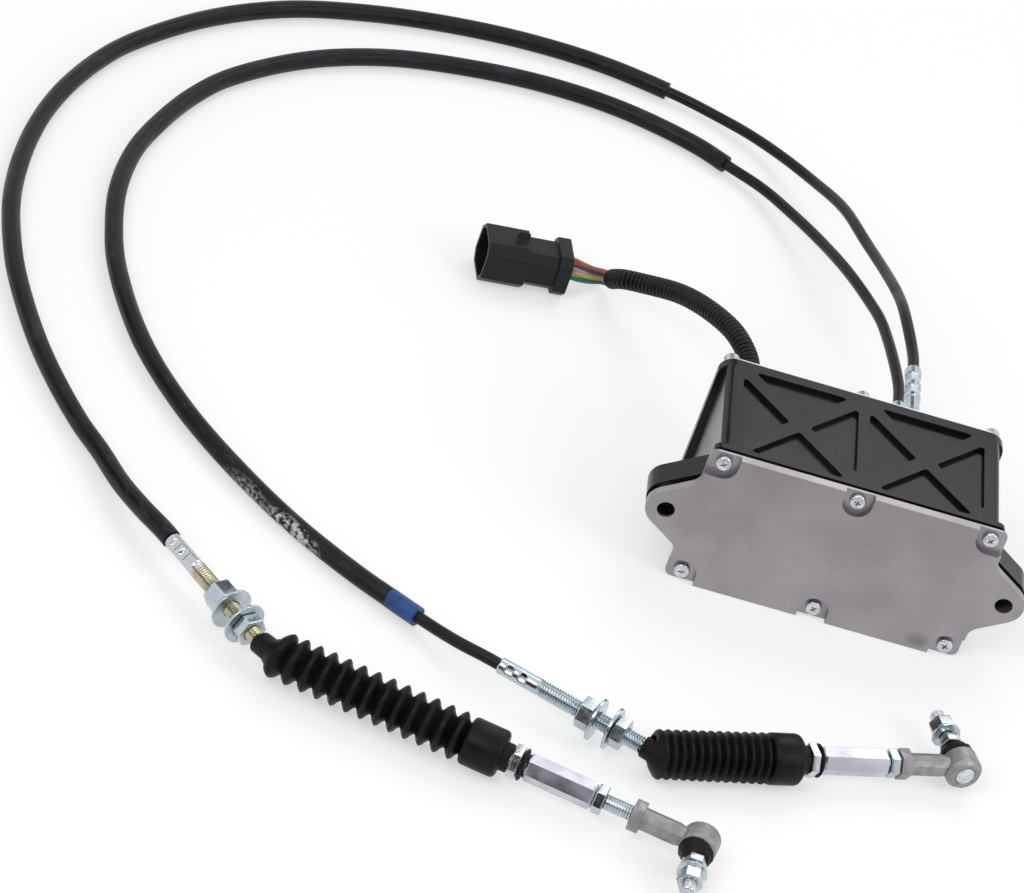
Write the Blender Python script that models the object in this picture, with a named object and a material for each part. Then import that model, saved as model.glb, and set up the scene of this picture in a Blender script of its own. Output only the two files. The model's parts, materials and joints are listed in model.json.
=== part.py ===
# Engine governor actuator: a motor box that drives two push-pull cables with ball-joint ends.
# Sizes are in millimetres and angles in degrees. Meshes are made in metres, +Z up.
# The box stands on its long side: X runs along it, Y from the cover to the cable exits.

import math

import bmesh
import bpy
import numpy as np
from mathutils import Matrix, Vector

MM = 0.001
GAP = 0.3

# Cover plate
LID_LENGTH = 170.0
LID_HEIGHT = 89.0
LID_RISE = 4.0
SHEET = 1.5
LID_CORNER = 4.0
POCKET_RADIUS = 8.3
SCREW_EDGE_X = 8.65
SCREW_EDGE_Z = 6.3

# Ears
EAR_X = 97.3
EAR_RADIUS = 11.5
EAR_SLOPE = 34.1
EAR_ROOT_FILLET = 8.0
EAR_HOLE = 5.0
EAR_SLEEVE_HOLE = 4.6
EAR_FRONT = 6.0
EAR_THICKNESS = 17.0

# Housing
HOUSING_WIDTH = 160.0
HOUSING_BACK = 91.0
FLANGE_REACH = 3.5
FLANGE_THICKNESS = 4.0
RIM_THICKNESS = 5.5
RIM_CORNER = 9.0
WALL = 3.5
TOP_WALL = 5.5
GASKET = 2.0
BOSS = 7.0
BOSS_DEPTH = 8.0
RIB_DEPTH = 2.7
RIB_CELL_WIDTH = 67.0
RIB_CELL_PITCH = 73.5
RIB_CELL_LENGTH = 76.0
RIB_CELL_FRONT = 7.7
RIB_BAND = 9.0
RIB_ROUND = 1.5

# Screws
SCREW_RADIUS = 2.4
SCREW_HOLE = 2.8
SCREW_HEAD_RADIUS = 4.5
SCREW_HEAD = 2.6
BACK_SCREW_HEAD = 7.0

# Crank, gears and yokes
CRANK_Y = 50.0
CRANK_RADIUS = 32.0
CRANK_SWING = 54.0
STROKE = 54.0
PIN_RADIUS = 2.4
PIN_PLAY = 1.3
SHAFT_RADIUS = 4.0
SHAFT_START = -14.0
BEARING_START = -10.0
BEARING_END = -2.0
BEARING_HALF = 12.0
BEARING_BOTTOM = 34.0
GEAR_START = 2.0
GEAR_FACE = 7.0
GEAR_MODULE = 1.25
GEAR_TEETH = 38
PINION_TEETH = 13
LEVER_START = 16.0
LEVER_THICKNESS = 5.0
LEVER_END_RADIUS = 6.0
LEVER_HUB_RADIUS = 9.0
YOKE_X = 33.0
YOKE_THICKNESS = 5.6
YOKE_WALL = 4.0
YOKE_END_WALL = 2.2
MOTOR_RADIUS = 16.0
MOTOR_START = -70.0
MOTOR_END = -4.0
GEARBOX_LENGTH = 26.0
PINION_SHAFT = 2.7
SENSOR_RADIUS = 10.0
SENSOR_LENGTH = 13.0

# Cable exits
CABLE_X = 33.0
CABLE_A_Z = 71.0
CABLE_B_Z = 45.0
FERRULE_LENGTH = 63.0
FERRULE_BORE = 2.9
FERRULE_AF = 10.4
FERRULE_CRIMP = 4.9
FERRULE_DENT = 4.0
YOKE_ROD_RADIUS = 2.6
ROD_REACH = 3.0
LEAD_X = -62.0
LEAD_Z = 70.0
LEAD_NECK = 6.7

# Cables
CONDUIT_RADIUS = 3.35
SLEEVE_RADIUS = 5.45
BAND_RADIUS = 5.6
LEAD_RADIUS = 6.0
WIRES_RADIUS = 2.5
SLEEVE_A_START = 391.0
SLEEVE_B_START = 295.0
BAND_START = 1175.0
BAND_END = 1198.0

# Threaded hubs: start point, heading and length up to the swivel
AXIS_HEIGHT = 14.6
HUB_A_START = (-355.4, -112.2)
HUB_A_HEADING = -48.9
HUB_A_LENGTH = 91.0
HUB_B_START = (-172.1, -139.6)
HUB_B_HEADING = -22.6
HUB_B_LENGTH = 96.9
HUB_CRIMP = 4.6
HUB_DENT = 4.0
HUB_TAIL = 25.0
HUB_THREAD = 4.8
WASHER_RADIUS = 12.1
WASHER_THICKNESS = 1.6
CLAMP_AF = 15.0
CLAMP_NUT = 7.0

# Swivelling rods
ROD_A_HEADING = -13.9
ROD_B_HEADING = 20.3
SWIVEL_BALL = 5.0
SWIVEL_TUBE = 78.0
TUBE_BORE = 4.1
PUSH_ROD = 3.8
PUSH_ROD_IN = 13.0
ROD_TIP_IN = 6.0
BELLOWS_IN = 85.4
BELLOWS_PEAK = 13.7
VALLEY_OUT = 9.4
VALLEY_IN = 11.0
BELLOWS_WALL = 1.3
BELLOWS_NECK = 8.4
BELLOWS_CAP = 16.5
BELLOWS_CAP_RADIUS = 13.6
BELLOWS_TAIL = 3.0
BELLOWS_TAIL_RADIUS = 7.9
BEND_LENGTH = 30.0
RING_RADIUS = 9.4
BELLOWS_NUT_AF = 16.0
BELLOWS_NUT = 5.0
ROD_NUT_AF = 13.5
ROD_NUT = 5.5
SEAL_RING = 2.4
COUPLER_AF = 13.5
COUPLER_LENGTH = 39.0
COUPLER_BORE = 4.1
COUPLER_DEPTH = 18.0
STEM_IN = 16.0
EYE_A = 246.0
EYE_B = 177.5
EYE_RADIUS = 10.2
EYE_FRONT = 6.0
EYE_BACK = 8.3
EYE_COLLAR = 38.0
COLLAR_AF = 15.0
COLLAR_LENGTH = 6.2
SHANK_RADIUS = 6.2
BALL_RADIUS = 6.5
SOCKET_MOUTH = 6.0
STUD_A_TILT = 7.5
STUD_NECK = 3.2
STUD_THREAD = 3.9
STUD_HEX_START = 15.0
STUD_HEX = 5.5
STUD_AF = 11.6
STUD_LENGTH = 41.5
STUD_NUT_START = 24.0
STUD_NUT = 10.5
STUD_NUT_AF = 12.4
STUD_NUT_FLANGE = 8.2

# Plug housing on the lead
PLUG_REAR = (-162.5, 246.5)
PLUG_HEADING = 190.0
PLUG_LENGTH = 52.0
PLUG_WIDTH = 30.0
PLUG_HEIGHT = 27.0
PLUG_WALL = 2.2
PLUG_COLLAR = 8.0
PLUG_SHROUD = 26.0
SOCKET_DEPTH = 19.0

ROUTE_A = [
    (33, 156, 71), (33, 170, 71), (27, 213, 71), (25, 243, 63), (21, 276, 53), (11, 323, 41),
    (-1, 369, 31), (-17, 410, 18), (-36, 437, 12), (-57, 458, 8), (-80, 472, 6), (-104, 481, 6),
    (-153, 492, 6), (-203, 493, 6), (-253, 486, 6), (-303, 472, 6), (-352, 450, 6), (-398, 414, 6),
    (-440, 363, 6), (-457, 332, 6), (-472, 292, 6), (-481, 252, 6), (-485, 208, 6), (-484, 167, 6),
    (-478, 129, 6), (-469, 93, 6), (-446, 32, 6), (-418, -20, 6), (-402, -44, 7), (-388, -69, 9.3),
    (-374, -90, 12.6), (-360.6, -106.2, 14.6), (-355.4, -112.2, 14.6),
]
ROUTE_B = [
    (33, 156, 45), (33, 175, 45), (30, 201, 44), (23, 244, 40), (17, 267, 36), (4, 303, 30),
    (-11, 341, 21), (-28, 375, 13), (-47, 402, 8), (-69, 419, 6), (-91, 432, 6), (-139, 447, 6),
    (-188, 450, 6), (-238, 443, 6), (-287, 428, 6), (-334, 400, 6), (-378, 356, 6), (-397, 325, 6),
    (-412, 289, 6), (-423, 251, 6), (-427, 209, 6), (-424, 168, 6), (-417, 131, 6), (-394, 68, 6),
    (-363, 17, 6), (-329, -23, 6), (-291, -59, 6), (-254, -86, 6), (-235, -98, 6.4),
    (-215, -112, 8), (-196, -127, 12), (-179.5, -136.5, 14.6), (-172.1, -139.6, 14.6),
]
ROUTE_LEAD = [
    (-62, 105.3, 70), (-62.4, 114, 70), (-64.2, 125, 70), (-68.4, 137, 69.8), (-73.5, 150, 67.8),
    (-84.7, 172.6, 61), (-100.2, 204.6, 46), (-118.1, 230.3, 29), (-129.5, 242.6, 19.9), (-134.3, 253, 11),
]
ROUTE_WIRES = [
    (-134.5, 253.7, 10.4), (-135.4, 259, 7.8), (-139, 262, 7.4), (-144, 259.5, 8.6),
    (-149.5, 253, 11.2), (-154.5, 249.2, 13.4), (-158, 247.5, 14.2), (-162, 246.6, 14.3),
]

lid_back = SHEET
housing_front = lid_back + GASKET + 2 * GAP
back_plate_front = HOUSING_BACK + GAP
back_face = back_plate_front + SHEET
exit_face = back_face + GAP
box_middle = (exit_face + FERRULE_LENGTH - LID_RISE) / 2
half_lid = LID_LENGTH / 2
half_housing = HOUSING_WIDTH / 2
screw_x = half_lid - SCREW_EDGE_X
crank_z = LID_HEIGHT / 2
floor_z = WALL
ceiling_z = LID_HEIGHT - TOP_WALL
bellows_out = BELLOWS_IN + STROKE

collection = bpy.context.scene.collection


# Scene helpers

def clear_scene():
    for old in list(bpy.data.objects):
        bpy.data.objects.remove(old, do_unlink=True)


def look(name, colour, roughness, metallic=0.0):
    material = bpy.data.materials.new(name)
    material.use_nodes = True
    shader = material.node_tree.nodes["Principled BSDF"]
    shader.inputs["Base Color"].default_value = (*colour, 1.0)
    shader.inputs["Roughness"].default_value = roughness
    shader.inputs["Metallic"].default_value = metallic
    material.diffuse_color = (*colour, 1.0)
    return material


def empty(name, parent=None, at=(0, 0, 0), heading=0.0):
    helper = bpy.data.objects.new(name, None)
    collection.objects.link(helper)
    helper.location = Vector(at) * MM
    helper.rotation_euler.z = math.radians(heading)
    helper.parent = parent
    return helper


def piece(name, bm, material, parent=None, at=(0, 0, 0), heading=0.0, smooth=True):
    bmesh.ops.recalc_face_normals(bm, faces=bm.faces)
    bmesh.ops.scale(bm, vec=(MM, MM, MM), verts=bm.verts)
    mesh = bpy.data.meshes.new(name)
    bm.to_mesh(mesh)
    bm.free()
    if smooth:
        mesh.shade_smooth()
        mesh.set_sharp_from_angle(angle=math.radians(35))
    mesh.materials.append(material)
    obj = bpy.data.objects.new(name, mesh)
    collection.objects.link(obj)
    obj.parent = parent
    obj.location = Vector(at) * MM
    obj.rotation_euler.z = math.radians(heading)
    return obj


def guide(name, bm, parent=None, at=(0, 0, 0), heading=0.0):
    helper = piece(name, bm, looks["guide"], parent, at, heading, smooth=False)
    helper.hide_render = True
    helper.display_type = "WIRE"
    return helper


def combine(obj, operation, other):
    modifier = obj.modifiers.new(other.name, "BOOLEAN")
    modifier.operation = operation
    modifier.solver = "EXACT"
    modifier.object = other


# Outlines and solids

def fillet(corners, steps=4):
    """Points of a closed outline whose corners (u, v, radius) are rounded by arcs."""
    points = []
    count = len(corners)
    for index, (u, v, radius) in enumerate(corners):
        here = Vector((u, v))
        before = Vector(corners[index - 1][:2]) - here
        after = Vector(corners[(index + 1) % count][:2]) - here
        if radius <= 0:
            points.append(here)
            continue
        half = before.angle(after) / 2
        middle = here + (before.normalized() + after.normalized()).normalized() * radius / math.sin(half)
        start = here + before.normalized() * radius / math.tan(half) - middle
        end = here + after.normalized() * radius / math.tan(half) - middle
        turn = start.angle_signed(end)
        for step in range(steps + 1):
            points.append(middle + Matrix.Rotation(-turn * step / steps, 2) @ start)
    return points


def box_outline(low_u, low_v, high_u, high_v, radius, steps=4):
    spots = ((low_u, low_v), (high_u, low_v), (high_u, high_v), (low_u, high_v))
    return fillet([(u, v, radius) for u, v in spots], steps)


def lofted(sections):
    """A solid through closed sections with as many points each, capped at both ends."""
    bm = bmesh.new()
    rings = [[bm.verts.new(point) for point in section] for section in sections]
    for first, second in zip(rings, rings[1:]):
        for index in range(len(first)):
            after = (index + 1) % len(first)
            bm.faces.new((first[index], first[after], second[after], second[index]))
    bm.faces.new(rings[0][::-1])
    bm.faces.new(rings[-1])
    return bm


def along_y(outline, y):
    return [(u, y, v) for u, v in outline]


def slab_y(outline, low, high):
    return lofted([along_y(outline, low), along_y(outline, high)])


def slab_x(outline, low, high):
    return lofted([[(x, u, v) for u, v in outline] for x in (low, high)])


def slab_z(outline, low, high):
    return lofted([[(u, v, z) for u, v in outline] for z in (low, high)])


def block(low, high):
    return slab_y(box_outline(low[0], low[2], high[0], high[2], 0), low[1], high[1])


def hex_reach(angle):
    """How far a hexagon of unit half width reaches at an angle from the middle of a flat."""
    return 1 / math.cos((angle + math.pi / 6) % (math.pi / 3) - math.pi / 6)


def turned(profile, sides=12, closed=False):
    """Turns a profile about +X. Its points are (along, radius) or (along, half width, 'hex')."""
    bm = bmesh.new()
    angles = [2 * math.pi * side / sides for side in range(sides)]
    rings = []
    for along, radius, *form in profile:
        if radius == 0:
            rings.append([bm.verts.new((along, 0, 0))])
            continue
        # A hexagon has a corner at each side, so a flat lies on top.
        reach = [radius * (hex_reach(angle + math.pi / 6) if form else 1) for angle in angles]
        rings.append([
            bm.verts.new((along, r * math.cos(a), r * math.sin(a))) for r, a in zip(reach, angles)
        ])
    pairs = list(zip(rings, rings[1:]))
    if closed:
        pairs.append((rings[-1], rings[0]))
    for first, second in pairs:
        for side in range(sides):
            after = (side + 1) % sides
            corners = [first[side % len(first)], first[after % len(first)],
                       second[after % len(second)], second[side % len(second)]]
            bm.faces.new(list(dict.fromkeys(corners)))
    return bm


def rod(low, high, radius, sides=12):
    return turned([(low, 0), (low, radius), (high, radius), (high, 0)], sides)


def ring(low, high, inner, outer, sides=24):
    return turned([(low, inner), (low, outer), (high, outer), (high, inner)], sides, closed=True)


def hex_nut(low, high, bore, across, chamfer=0.8):
    half = across / 2
    return turned([
        (low, bore), (low, half, "hex"), (low + chamfer, half * 1.04, "hex"),
        (high - chamfer, half * 1.04, "hex"), (high, half, "hex"), (high, bore),
    ], closed=True)


def flexed(outer, inner, sides=16):
    """A hollow rubber wall. Each ring is (centre, direction, radius) in the horizontal plane."""
    bm = bmesh.new()
    rings = []
    for centre, direction, radius in outer + inner[::-1]:
        side = Vector((-direction.y, direction.x, 0))
        ring_points = []
        for step in range(sides):
            angle = 2 * math.pi * step / sides
            ring_points.append(bm.verts.new(
                centre + side * radius * math.cos(angle) + Vector((0, 0, radius * math.sin(angle)))))
        rings.append(ring_points)
    for first, second in zip(rings, rings[1:] + rings[:1]):
        for step in range(sides):
            after = (step + 1) % sides
            bm.faces.new((first[step], first[after], second[after], second[step]))
    return bm


def heading_vector(degrees):
    return Vector((math.cos(math.radians(degrees)), math.sin(math.radians(degrees)), 0))


# Box: outlines shared by the cover, the gasket and the housing

def ear_edge_z(x, inset):
    """Height of an ear's upper straight edge at x, from the line that touches the ear's round end."""
    slope = math.radians(EAR_SLOPE)
    reach = EAR_RADIUS - inset - (x - EAR_X) * math.sin(slope)
    return crank_z + reach / math.cos(slope)


def lid_outline(inset):
    edge = half_lid - inset
    high = ear_edge_z(edge, inset)
    low = LID_HEIGHT - high
    tip = EAR_X + (EAR_RADIUS - inset) / math.sin(math.radians(EAR_SLOPE))
    corner = LID_CORNER - inset
    root = EAR_ROOT_FILLET + inset
    right = [(edge, inset, corner), (edge, low, root), (tip, crank_z, EAR_RADIUS - inset),
             (edge, high, root), (edge, LID_HEIGHT - inset, corner)]
    left = [(-u, v, radius) for u, v, radius in right[::-1]]
    return fillet(right + left, 6)


def pocket_outlines(grow):
    """The six screw pockets of the cover, open to its edge, made larger by grow."""
    radius = POCKET_RADIUS + grow
    beyond = LID_HEIGHT / 4
    outlines = []
    for mirror_z in (False, True):
        centre = LID_HEIGHT - SCREW_EDGE_Z if mirror_z else SCREW_EDGE_Z
        outer = LID_HEIGHT + beyond if mirror_z else -beyond
        inner = centre - radius if mirror_z else centre + radius
        for x in (-screw_x, screw_x):
            side = math.copysign(1, x)
            far = x + side * beyond
            near = x - side * radius
            corners = [(far, outer, 0), (near, outer, 0), (near, inner, radius), (far, inner, 0)]
            outlines.append(fillet(corners, 6))
        outlines.append(fillet([
            (-radius, outer, 0), (-radius, inner, radius * 0.999), (radius, inner, radius * 0.999),
            (radius, outer, 0)], 6))
    return outlines


def screw_places():
    return [(x, z) for z in (SCREW_EDGE_Z, LID_HEIGHT - SCREW_EDGE_Z) for x in (-screw_x, 0, screw_x)]


def build_cover():
    cover = piece("cover_plate", slab_y(lid_outline(0), -LID_RISE, lid_back), looks["steel"], box)
    pan = guide("cover_inside", slab_y(lid_outline(SHEET), SHEET - LID_RISE, lid_back + 1), box)
    for index, outline in enumerate(pocket_outlines(SHEET)):
        wall = slab_y(outline, -LID_RISE - 3, lid_back + 3)
        combine(pan, "DIFFERENCE", guide(f"pocket_wall_{index}", wall, box))
    combine(cover, "DIFFERENCE", pan)
    for index, outline in enumerate(pocket_outlines(0)):
        combine(cover, "DIFFERENCE", guide(f"pocket_{index}", slab_y(outline, -LID_RISE - 2, 0), box))
    for index, (x, z) in enumerate(screw_places()):
        hole = guide(f"cover_hole_{index}", rod(-5, 5, SCREW_HOLE), box, (x, 0, z), 90)
        combine(cover, "DIFFERENCE", hole)
    for side in (-1, 1):
        hole = guide(f"cover_ear_hole_{side}", rod(-8, 8, EAR_HOLE, 24), box, (side * EAR_X, 0, crank_z), 90)
        combine(cover, "DIFFERENCE", hole)


def build_gasket():
    low = lid_back + GAP
    outline = box_outline(-half_lid + SHEET, SHEET, half_lid - SHEET, LID_HEIGHT - SHEET, LID_CORNER)
    gasket = piece("cover_gasket", slab_y(outline, low, low + GASKET), looks["gasket"], box)
    inner_x = screw_x - BOSS
    inner_z = SCREW_EDGE_Z + BOSS
    window = box_outline(-inner_x, inner_z, inner_x, LID_HEIGHT - inner_z, LID_CORNER)
    combine(gasket, "DIFFERENCE", guide("gasket_window", slab_y(window, 0, 10), box))
    for index, (x, z) in enumerate(screw_places()):
        hole = guide(f"gasket_hole_{index}", rod(0, 6, SCREW_HOLE), box, (x, 0, z), 90)
        combine(gasket, "DIFFERENCE", hole)


# Housing

def housing_section(reach, corner, y):
    return along_y(box_outline(-reach, 0, reach, LID_HEIGHT, corner, 5), y)


def cavity_outline():
    """Inside of the housing with solid corners and middles left for the screws."""
    wall_x = half_housing - WALL
    boss_x = screw_x - BOSS
    low = floor_z
    boss_low = SCREW_EDGE_Z + BOSS
    high = ceiling_z
    boss_high = LID_HEIGHT - SCREW_EDGE_Z - BOSS
    return [
        (-boss_x, low), (-BOSS, low), (-BOSS, boss_low), (BOSS, boss_low), (BOSS, low), (boss_x, low),
        (boss_x, boss_low), (wall_x, boss_low), (wall_x, boss_high), (boss_x, boss_high), (boss_x, high),
        (BOSS, high), (BOSS, boss_high), (-BOSS, boss_high), (-BOSS, high), (-boss_x, high),
        (-boss_x, boss_high), (-wall_x, boss_high), (-wall_x, boss_low), (-boss_x, boss_low),
    ]


def rib_pocket_outlines():
    """The four sunk triangles left by the crossed bands of each cell on the long upper side."""
    slant = math.hypot(RIB_CELL_WIDTH, RIB_CELL_LENGTH)
    cut_u = RIB_BAND / 2 * slant / RIB_CELL_LENGTH
    cut_v = RIB_BAND / 2 * slant / RIB_CELL_WIDTH
    outlines = []
    for cell in (-1, 1):
        middle_u = cell * RIB_CELL_PITCH / 2
        middle_v = RIB_CELL_FRONT + RIB_CELL_LENGTH / 2
        half_u = RIB_CELL_WIDTH / 2
        half_v = RIB_CELL_LENGTH / 2
        for side in (-1, 1):
            across = [(side * half_u, cut_v - half_v), (side * half_u, half_v - cut_v), (side * cut_u, 0)]
            lengthwise = [(cut_u - half_u, side * half_v), (half_u - cut_u, side * half_v), (0, side * cut_v)]
            for triangle in (across, lengthwise):
                outlines.append(fillet([(middle_u + u, middle_v + v, RIB_ROUND) for u, v in triangle], 2))
    return outlines


def build_housing():
    flange = half_housing + FLANGE_REACH
    flange_back = housing_front + FLANGE_THICKNESS
    rim_front = HOUSING_BACK - RIM_THICKNESS
    housing = piece("housing", lofted([
        housing_section(flange, LID_CORNER, housing_front),
        housing_section(flange, LID_CORNER, flange_back),
        housing_section(half_housing, LID_CORNER, flange_back + 0.5),
        housing_section(half_housing, LID_CORNER, rim_front - 0.5),
        housing_section(flange, RIM_CORNER, rim_front),
        housing_section(flange, RIM_CORNER, HOUSING_BACK),
    ]), looks["plastic"], box)
    root = half_housing - WALL / 2
    tip = EAR_X + EAR_RADIUS / math.sin(math.radians(EAR_SLOPE))
    for side in (-1, 1):
        corners = [(side * root, LID_HEIGHT - ear_edge_z(root, 0), 0), (side * tip, crank_z, EAR_RADIUS),
                   (side * root, ear_edge_z(root, 0), 0)]
        ear = guide(f"ear_{side}", slab_y(fillet(corners, 12), EAR_FRONT, EAR_FRONT + EAR_THICKNESS), box)
        combine(housing, "UNION", ear)
    boss_back = housing_front + BOSS_DEPTH
    rear_boss = HOUSING_BACK - BOSS_DEPTH
    combine(housing, "DIFFERENCE", guide("mouth", slab_y(cavity_outline(), -1, HOUSING_BACK + 1), box))
    room = block((WALL - half_housing, boss_back, floor_z), (half_housing - WALL, rear_boss, ceiling_z))
    combine(housing, "DIFFERENCE", guide("room", room, box))
    web = block((BEARING_START, CRANK_Y - BEARING_HALF, BEARING_BOTTOM),
                (BEARING_END, CRANK_Y + BEARING_HALF, ceiling_z + 1))
    combine(housing, "UNION", guide("bearing_web", web, box))
    bearing = rod(BEARING_START - 1, BEARING_END + 1, SHAFT_RADIUS + GAP)
    combine(housing, "DIFFERENCE", guide("bearing_bore", bearing, box, (0, CRANK_Y, crank_z)))
    for index, (x, z) in enumerate(screw_places()):
        for end, (low, high) in enumerate(((0, boss_back + 1), (rear_boss - 1, HOUSING_BACK + 1))):
            hole = guide(f"boss_hole_{index}_{end}", rod(low, high, SCREW_HOLE), box, (x, 0, z), 90)
            combine(housing, "DIFFERENCE", hole)
    for side in (-1, 1):
        hole = guide(f"ear_hole_{side}", rod(0, 40, EAR_SLEEVE_HOLE, 24), box, (side * EAR_X, 0, crank_z), 90)
        combine(housing, "DIFFERENCE", hole)
    for index, outline in enumerate(rib_pocket_outlines()):
        pocket = guide(f"rib_pocket_{index}", slab_z(outline, LID_HEIGHT - RIB_DEPTH, LID_HEIGHT + 2), box)
        combine(housing, "DIFFERENCE", pocket)


def build_back_plate():
    reach = half_housing + FLANGE_REACH - 0.5
    outline = box_outline(-reach, 0.5, reach, LID_HEIGHT - 0.5, RIM_CORNER)
    plate = piece("back_plate", slab_y(outline, back_plate_front, back_face), looks["steel"], box)
    head_top = back_face + BACK_SCREW_HEAD
    for index, (x, z) in enumerate(screw_places()):
        screw = turned([
            (HOUSING_BACK - BOSS_DEPTH, 0), (HOUSING_BACK - BOSS_DEPTH, SCREW_RADIUS),
            (back_face - 0.5, SCREW_RADIUS), (back_face - 0.5, SCREW_HEAD_RADIUS),
            (head_top - 1, SCREW_HEAD_RADIUS), (head_top, SCREW_HEAD_RADIUS - 1), (head_top, 0)])
        combine(plate, "UNION", guide(f"back_screw_{index}", screw, box, (x, 0, z), 90))
    exits = (("a", CABLE_X, CABLE_A_Z, FERRULE_BORE), ("b", CABLE_X, CABLE_B_Z, FERRULE_BORE),
             ("lead", LEAD_X, LEAD_Z, LEAD_NECK + GAP))
    for name, x, z, radius in exits:
        hole = guide(f"exit_{name}", rod(back_plate_front - 2, back_face + 2, radius), box, (x, 0, z), 90)
        combine(plate, "DIFFERENCE", hole)


def build_cover_screws():
    head = -GAP - SCREW_HEAD
    end = housing_front + BOSS_DEPTH - 1
    for index, (x, z) in enumerate(screw_places()):
        screw = turned([(head, 0), (head, 3), (head + 0.9, SCREW_HEAD_RADIUS), (-GAP, SCREW_HEAD_RADIUS),
                        (-GAP, SCREW_RADIUS), (end, SCREW_RADIUS), (end, 0)])
        piece(f"cover_screw_{index + 1}", screw, looks["zinc"], box, (x, 0, z), 90)


# Inside the box

def gear_outline(teeth, module, tooth_at):
    """Straight-sided teeth on a pitch circle, with one tooth centred at the angle tooth_at."""
    pitch = teeth * module / 2
    lean = math.tan(math.radians(20))
    play = GAP / 2
    points = []
    for tooth in range(teeth):
        middle = tooth_at + 2 * math.pi * tooth / teeth
        half = math.pi * module / 4 - play
        foot = pitch - 1.25 * module
        tip = pitch + module
        foot_half = (half + 1.25 * module * lean) / foot
        tip_half = (half - module * lean) / tip
        for radius, angle in ((foot, -foot_half), (tip, -tip_half), (tip, tip_half), (foot, foot_half)):
            points.append((radius * math.cos(middle + angle), radius * math.sin(middle + angle)))
    return points


def motor_place():
    distance = GEAR_MODULE * (GEAR_TEETH + PINION_TEETH) / 2 + GAP
    z = floor_z + GAP + MOTOR_RADIUS
    y = CRANK_Y - math.sqrt(distance ** 2 - (crank_z - z) ** 2)
    return y, z


def build_drive():
    motor_y, motor_z = motor_place()
    mesh_angle = math.atan2(motor_z - crank_z, motor_y - CRANK_Y)
    bore = PINION_SHAFT + GAP
    can = MOTOR_RADIUS - 2
    gearbox = MOTOR_END - GEARBOX_LENGTH
    motor = turned([
        (MOTOR_START, 0), (MOTOR_START, 5), (MOTOR_START + 3, 5), (MOTOR_START + 3, can - 2),
        (MOTOR_START + 5, can), (gearbox, can), (gearbox, MOTOR_RADIUS),
        (MOTOR_END, MOTOR_RADIUS), (MOTOR_END, bore), (MOTOR_END - 12, bore), (MOTOR_END - 12, 0)], 20)
    piece("gearmotor", motor, looks["motor"], box, (0, motor_y, motor_z))
    gear_end = GEAR_START + GEAR_FACE
    gap_up = mesh_angle + math.pi + math.pi / PINION_TEETH
    at = (0, motor_y, motor_z)
    teeth = slab_x(gear_outline(PINION_TEETH, GEAR_MODULE, gap_up), GEAR_START, gear_end)
    pinion = piece("drive_pinion", teeth, looks["brass"], box, at, smooth=False)
    shaft = rod(MOTOR_END - 11, gear_end + 2, PINION_SHAFT)
    combine(pinion, "UNION", guide("pinion_shaft", shaft, box, at))
    face = BEARING_START - GAP
    rear = face - SENSOR_LENGTH
    bore = SHAFT_RADIUS + GAP
    sensor = turned([(rear, 0), (rear, SENSOR_RADIUS), (face, SENSOR_RADIUS), (face, bore),
                     (SHAFT_START - 1, bore), (SHAFT_START - 1, 0)], 20)
    piece("position_sensor", sensor, looks["sensor"], box, (0, CRANK_Y, crank_z))


def pin_offsets():
    """Where the two crank pins lie about the shaft at rest, as (y, z)."""
    swing = math.radians(CRANK_SWING)
    reach = (CRANK_RADIUS * math.sin(swing), CRANK_RADIUS * math.cos(swing))
    return reach, (-reach[0], -reach[1])


def lever_outline(tilt):
    """A two-armed lever: round ends about both pins, widened about the shaft."""
    end = LEVER_END_RADIUS
    round_end = end * 0.999
    far = CRANK_RADIUS + end
    middle = LEVER_HUB_RADIUS + 1
    corners = [(-far, -end, round_end), (0, -middle, 20), (far, -end, round_end),
               (far, end, round_end), (0, middle, 20), (-far, end, round_end)]
    turn = Matrix.Rotation(tilt, 2)
    return [turn @ point for point in fillet(corners, 4)]


def build_crank():
    motor_y, motor_z = motor_place()
    mesh_angle = math.atan2(motor_z - crank_z, motor_y - CRANK_Y)
    gear_end = GEAR_START + GEAR_FACE
    lever_end = LEVER_START + LEVER_THICKNESS
    upper, lower = pin_offsets()
    teeth = slab_x(gear_outline(GEAR_TEETH, GEAR_MODULE, mesh_angle), GEAR_START, gear_end)
    crank = piece("crank_shaft", teeth, looks["brass"], box, (0, CRANK_Y, crank_z), smooth=False)
    hub = LEVER_HUB_RADIUS
    shaft = turned([(SHAFT_START, 0), (SHAFT_START, SHAFT_RADIUS), (gear_end - 1, SHAFT_RADIUS),
                    (gear_end - 1, hub), (lever_end + 1, hub), (lever_end + 1, 0)], 16)
    combine(crank, "UNION", guide("crank_core", shaft, box, (0, CRANK_Y, crank_z)))
    lever = slab_x(lever_outline(math.atan2(upper[1], upper[0])), LEVER_START, lever_end)
    combine(crank, "UNION", guide("crank_lever", lever, box, (0, CRANK_Y, crank_z)))
    pin_end = YOKE_X + YOKE_THICKNESS / 2 + 1
    for name, (y, z) in (("upper", upper), ("lower", lower)):
        pin = rod(lever_end - 1, pin_end, PIN_RADIUS)
        combine(crank, "UNION", guide(f"crank_pin_{name}", pin, box, (0, CRANK_Y + y, crank_z + z)))


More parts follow.
